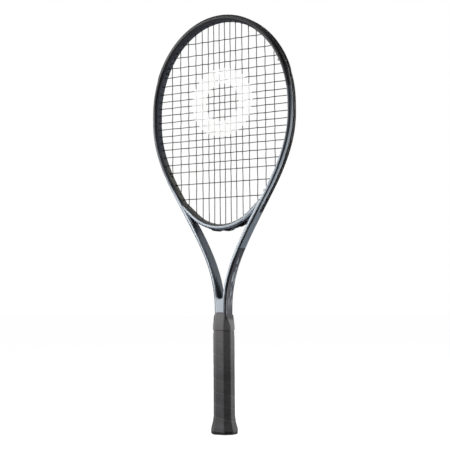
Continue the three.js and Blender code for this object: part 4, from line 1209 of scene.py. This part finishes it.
def add_floor():
    half, drop = 30.0, -0.0005
    mesh = bpy.data.meshes.new("floor")
    mesh.from_pydata([(half * x, half * y, drop) for x, y in ((-1, -1), (1, -1), (1, 1), (-1, 1))],
                     [], [(0, 1, 2, 3)])
    floor = put("floor", mesh)
    m = Shader("floor_pale", Roughness=0.9, Specular_IOR_Level=0.1,
               Emission_Color=(1, 1, 1, 1), Emission_Strength=0.98)
    base = m.mix(m.noise(0.002, 2.0), (0.10, 0.10, 0.10, 1), (0.13, 0.13, 0.13, 1))
    mesh.materials.append(m.set(Base_Color=base))
    # the floor is seen, but throws no light back up on the racket
    floor.visible_diffuse = floor.visible_glossy = floor.visible_shadow = False


LIT_POINT = Vector((0, 0, 0.36))
# name, azimuth, elevation, distance, width, height, irradiance
LIGHTS = [("key_left", -55, 18, 2.4, 1.9, 2.0, 1.36), ("rim_right", 128, 8, 2.5, 0.7, 2.2, 1.15),
          ("back_left", 215, 20, 2.6, 1.6, 2.0, 0.55), ("top", -40, 80, 2.6, 2.4, 2.4, 0.3)]


def add_light(name, azimuth, elevation, distance, width, height, irradiance):
    """A softbox that gives the stated irradiance, as a share of pi, to a surface facing it."""
    data = bpy.data.lights.new(name, "AREA")
    data.shape, data.size, data.size_y = "RECTANGLE", width, height
    data.energy = irradiance * (math.pi * distance) ** 2
    light = put(name, data)
    back = toward(math.radians(azimuth), math.radians(elevation))
    light.location = LIT_POINT + back * distance
    light.rotation_mode = "QUATERNION"
    light.rotation_quaternion = (-back).to_track_quat("-Z", "Y")
    light.visible_camera = False


AMBIENT, AMBIENT_BELOW, AMBIENT_TURNS = 0.05, 1.0, (-0.4, -0.85)


def add_world():
    """Dim all round for the lighting, bright from below, and plain white to the camera."""
    world = bpy.data.worlds.new("studio")
    bpy.context.scene.world = world
    world.use_nodes = True
    nodes, join = world.node_tree.nodes, world.node_tree.links.new
    shade, plain = nodes["Background"], nodes.new("ShaderNodeBackground")
    shade.inputs["Strength"].default_value = 1.0
    plain.inputs["Color"].default_value = (1, 1, 1, 1)
    direction, split = nodes.new("ShaderNodeTexCoord"), nodes.new("ShaderNodeSeparateXYZ")
    ramp, mix = nodes.new("ShaderNodeMapRange"), nodes.new("ShaderNodeMixShader")
    path = nodes.new("ShaderNodeLightPath")
    for value, target in zip((*AMBIENT_TURNS, AMBIENT, AMBIENT_BELOW), list(ramp.inputs)[1:5]):
        target.default_value = value
    join(direction.outputs["Generated"], split.inputs[0])
    join(split.outputs["Z"], ramp.inputs[0])
    join(ramp.outputs[0], shade.inputs["Color"])
    sources = path.outputs["Is Camera Ray"], shade.outputs[0], plain.outputs[0]
    for source, target in zip(sources, mix.inputs):
        join(source, target)
    join(mix.outputs[0], nodes["World Output"].inputs[0])


add_camera()
add_floor()
add_world()
for light in LIGHTS:
    add_light(*light)
bpy.context.scene.view_settings.view_transform = "Standard"
bpy.context.scene.view_settings.look = "None"
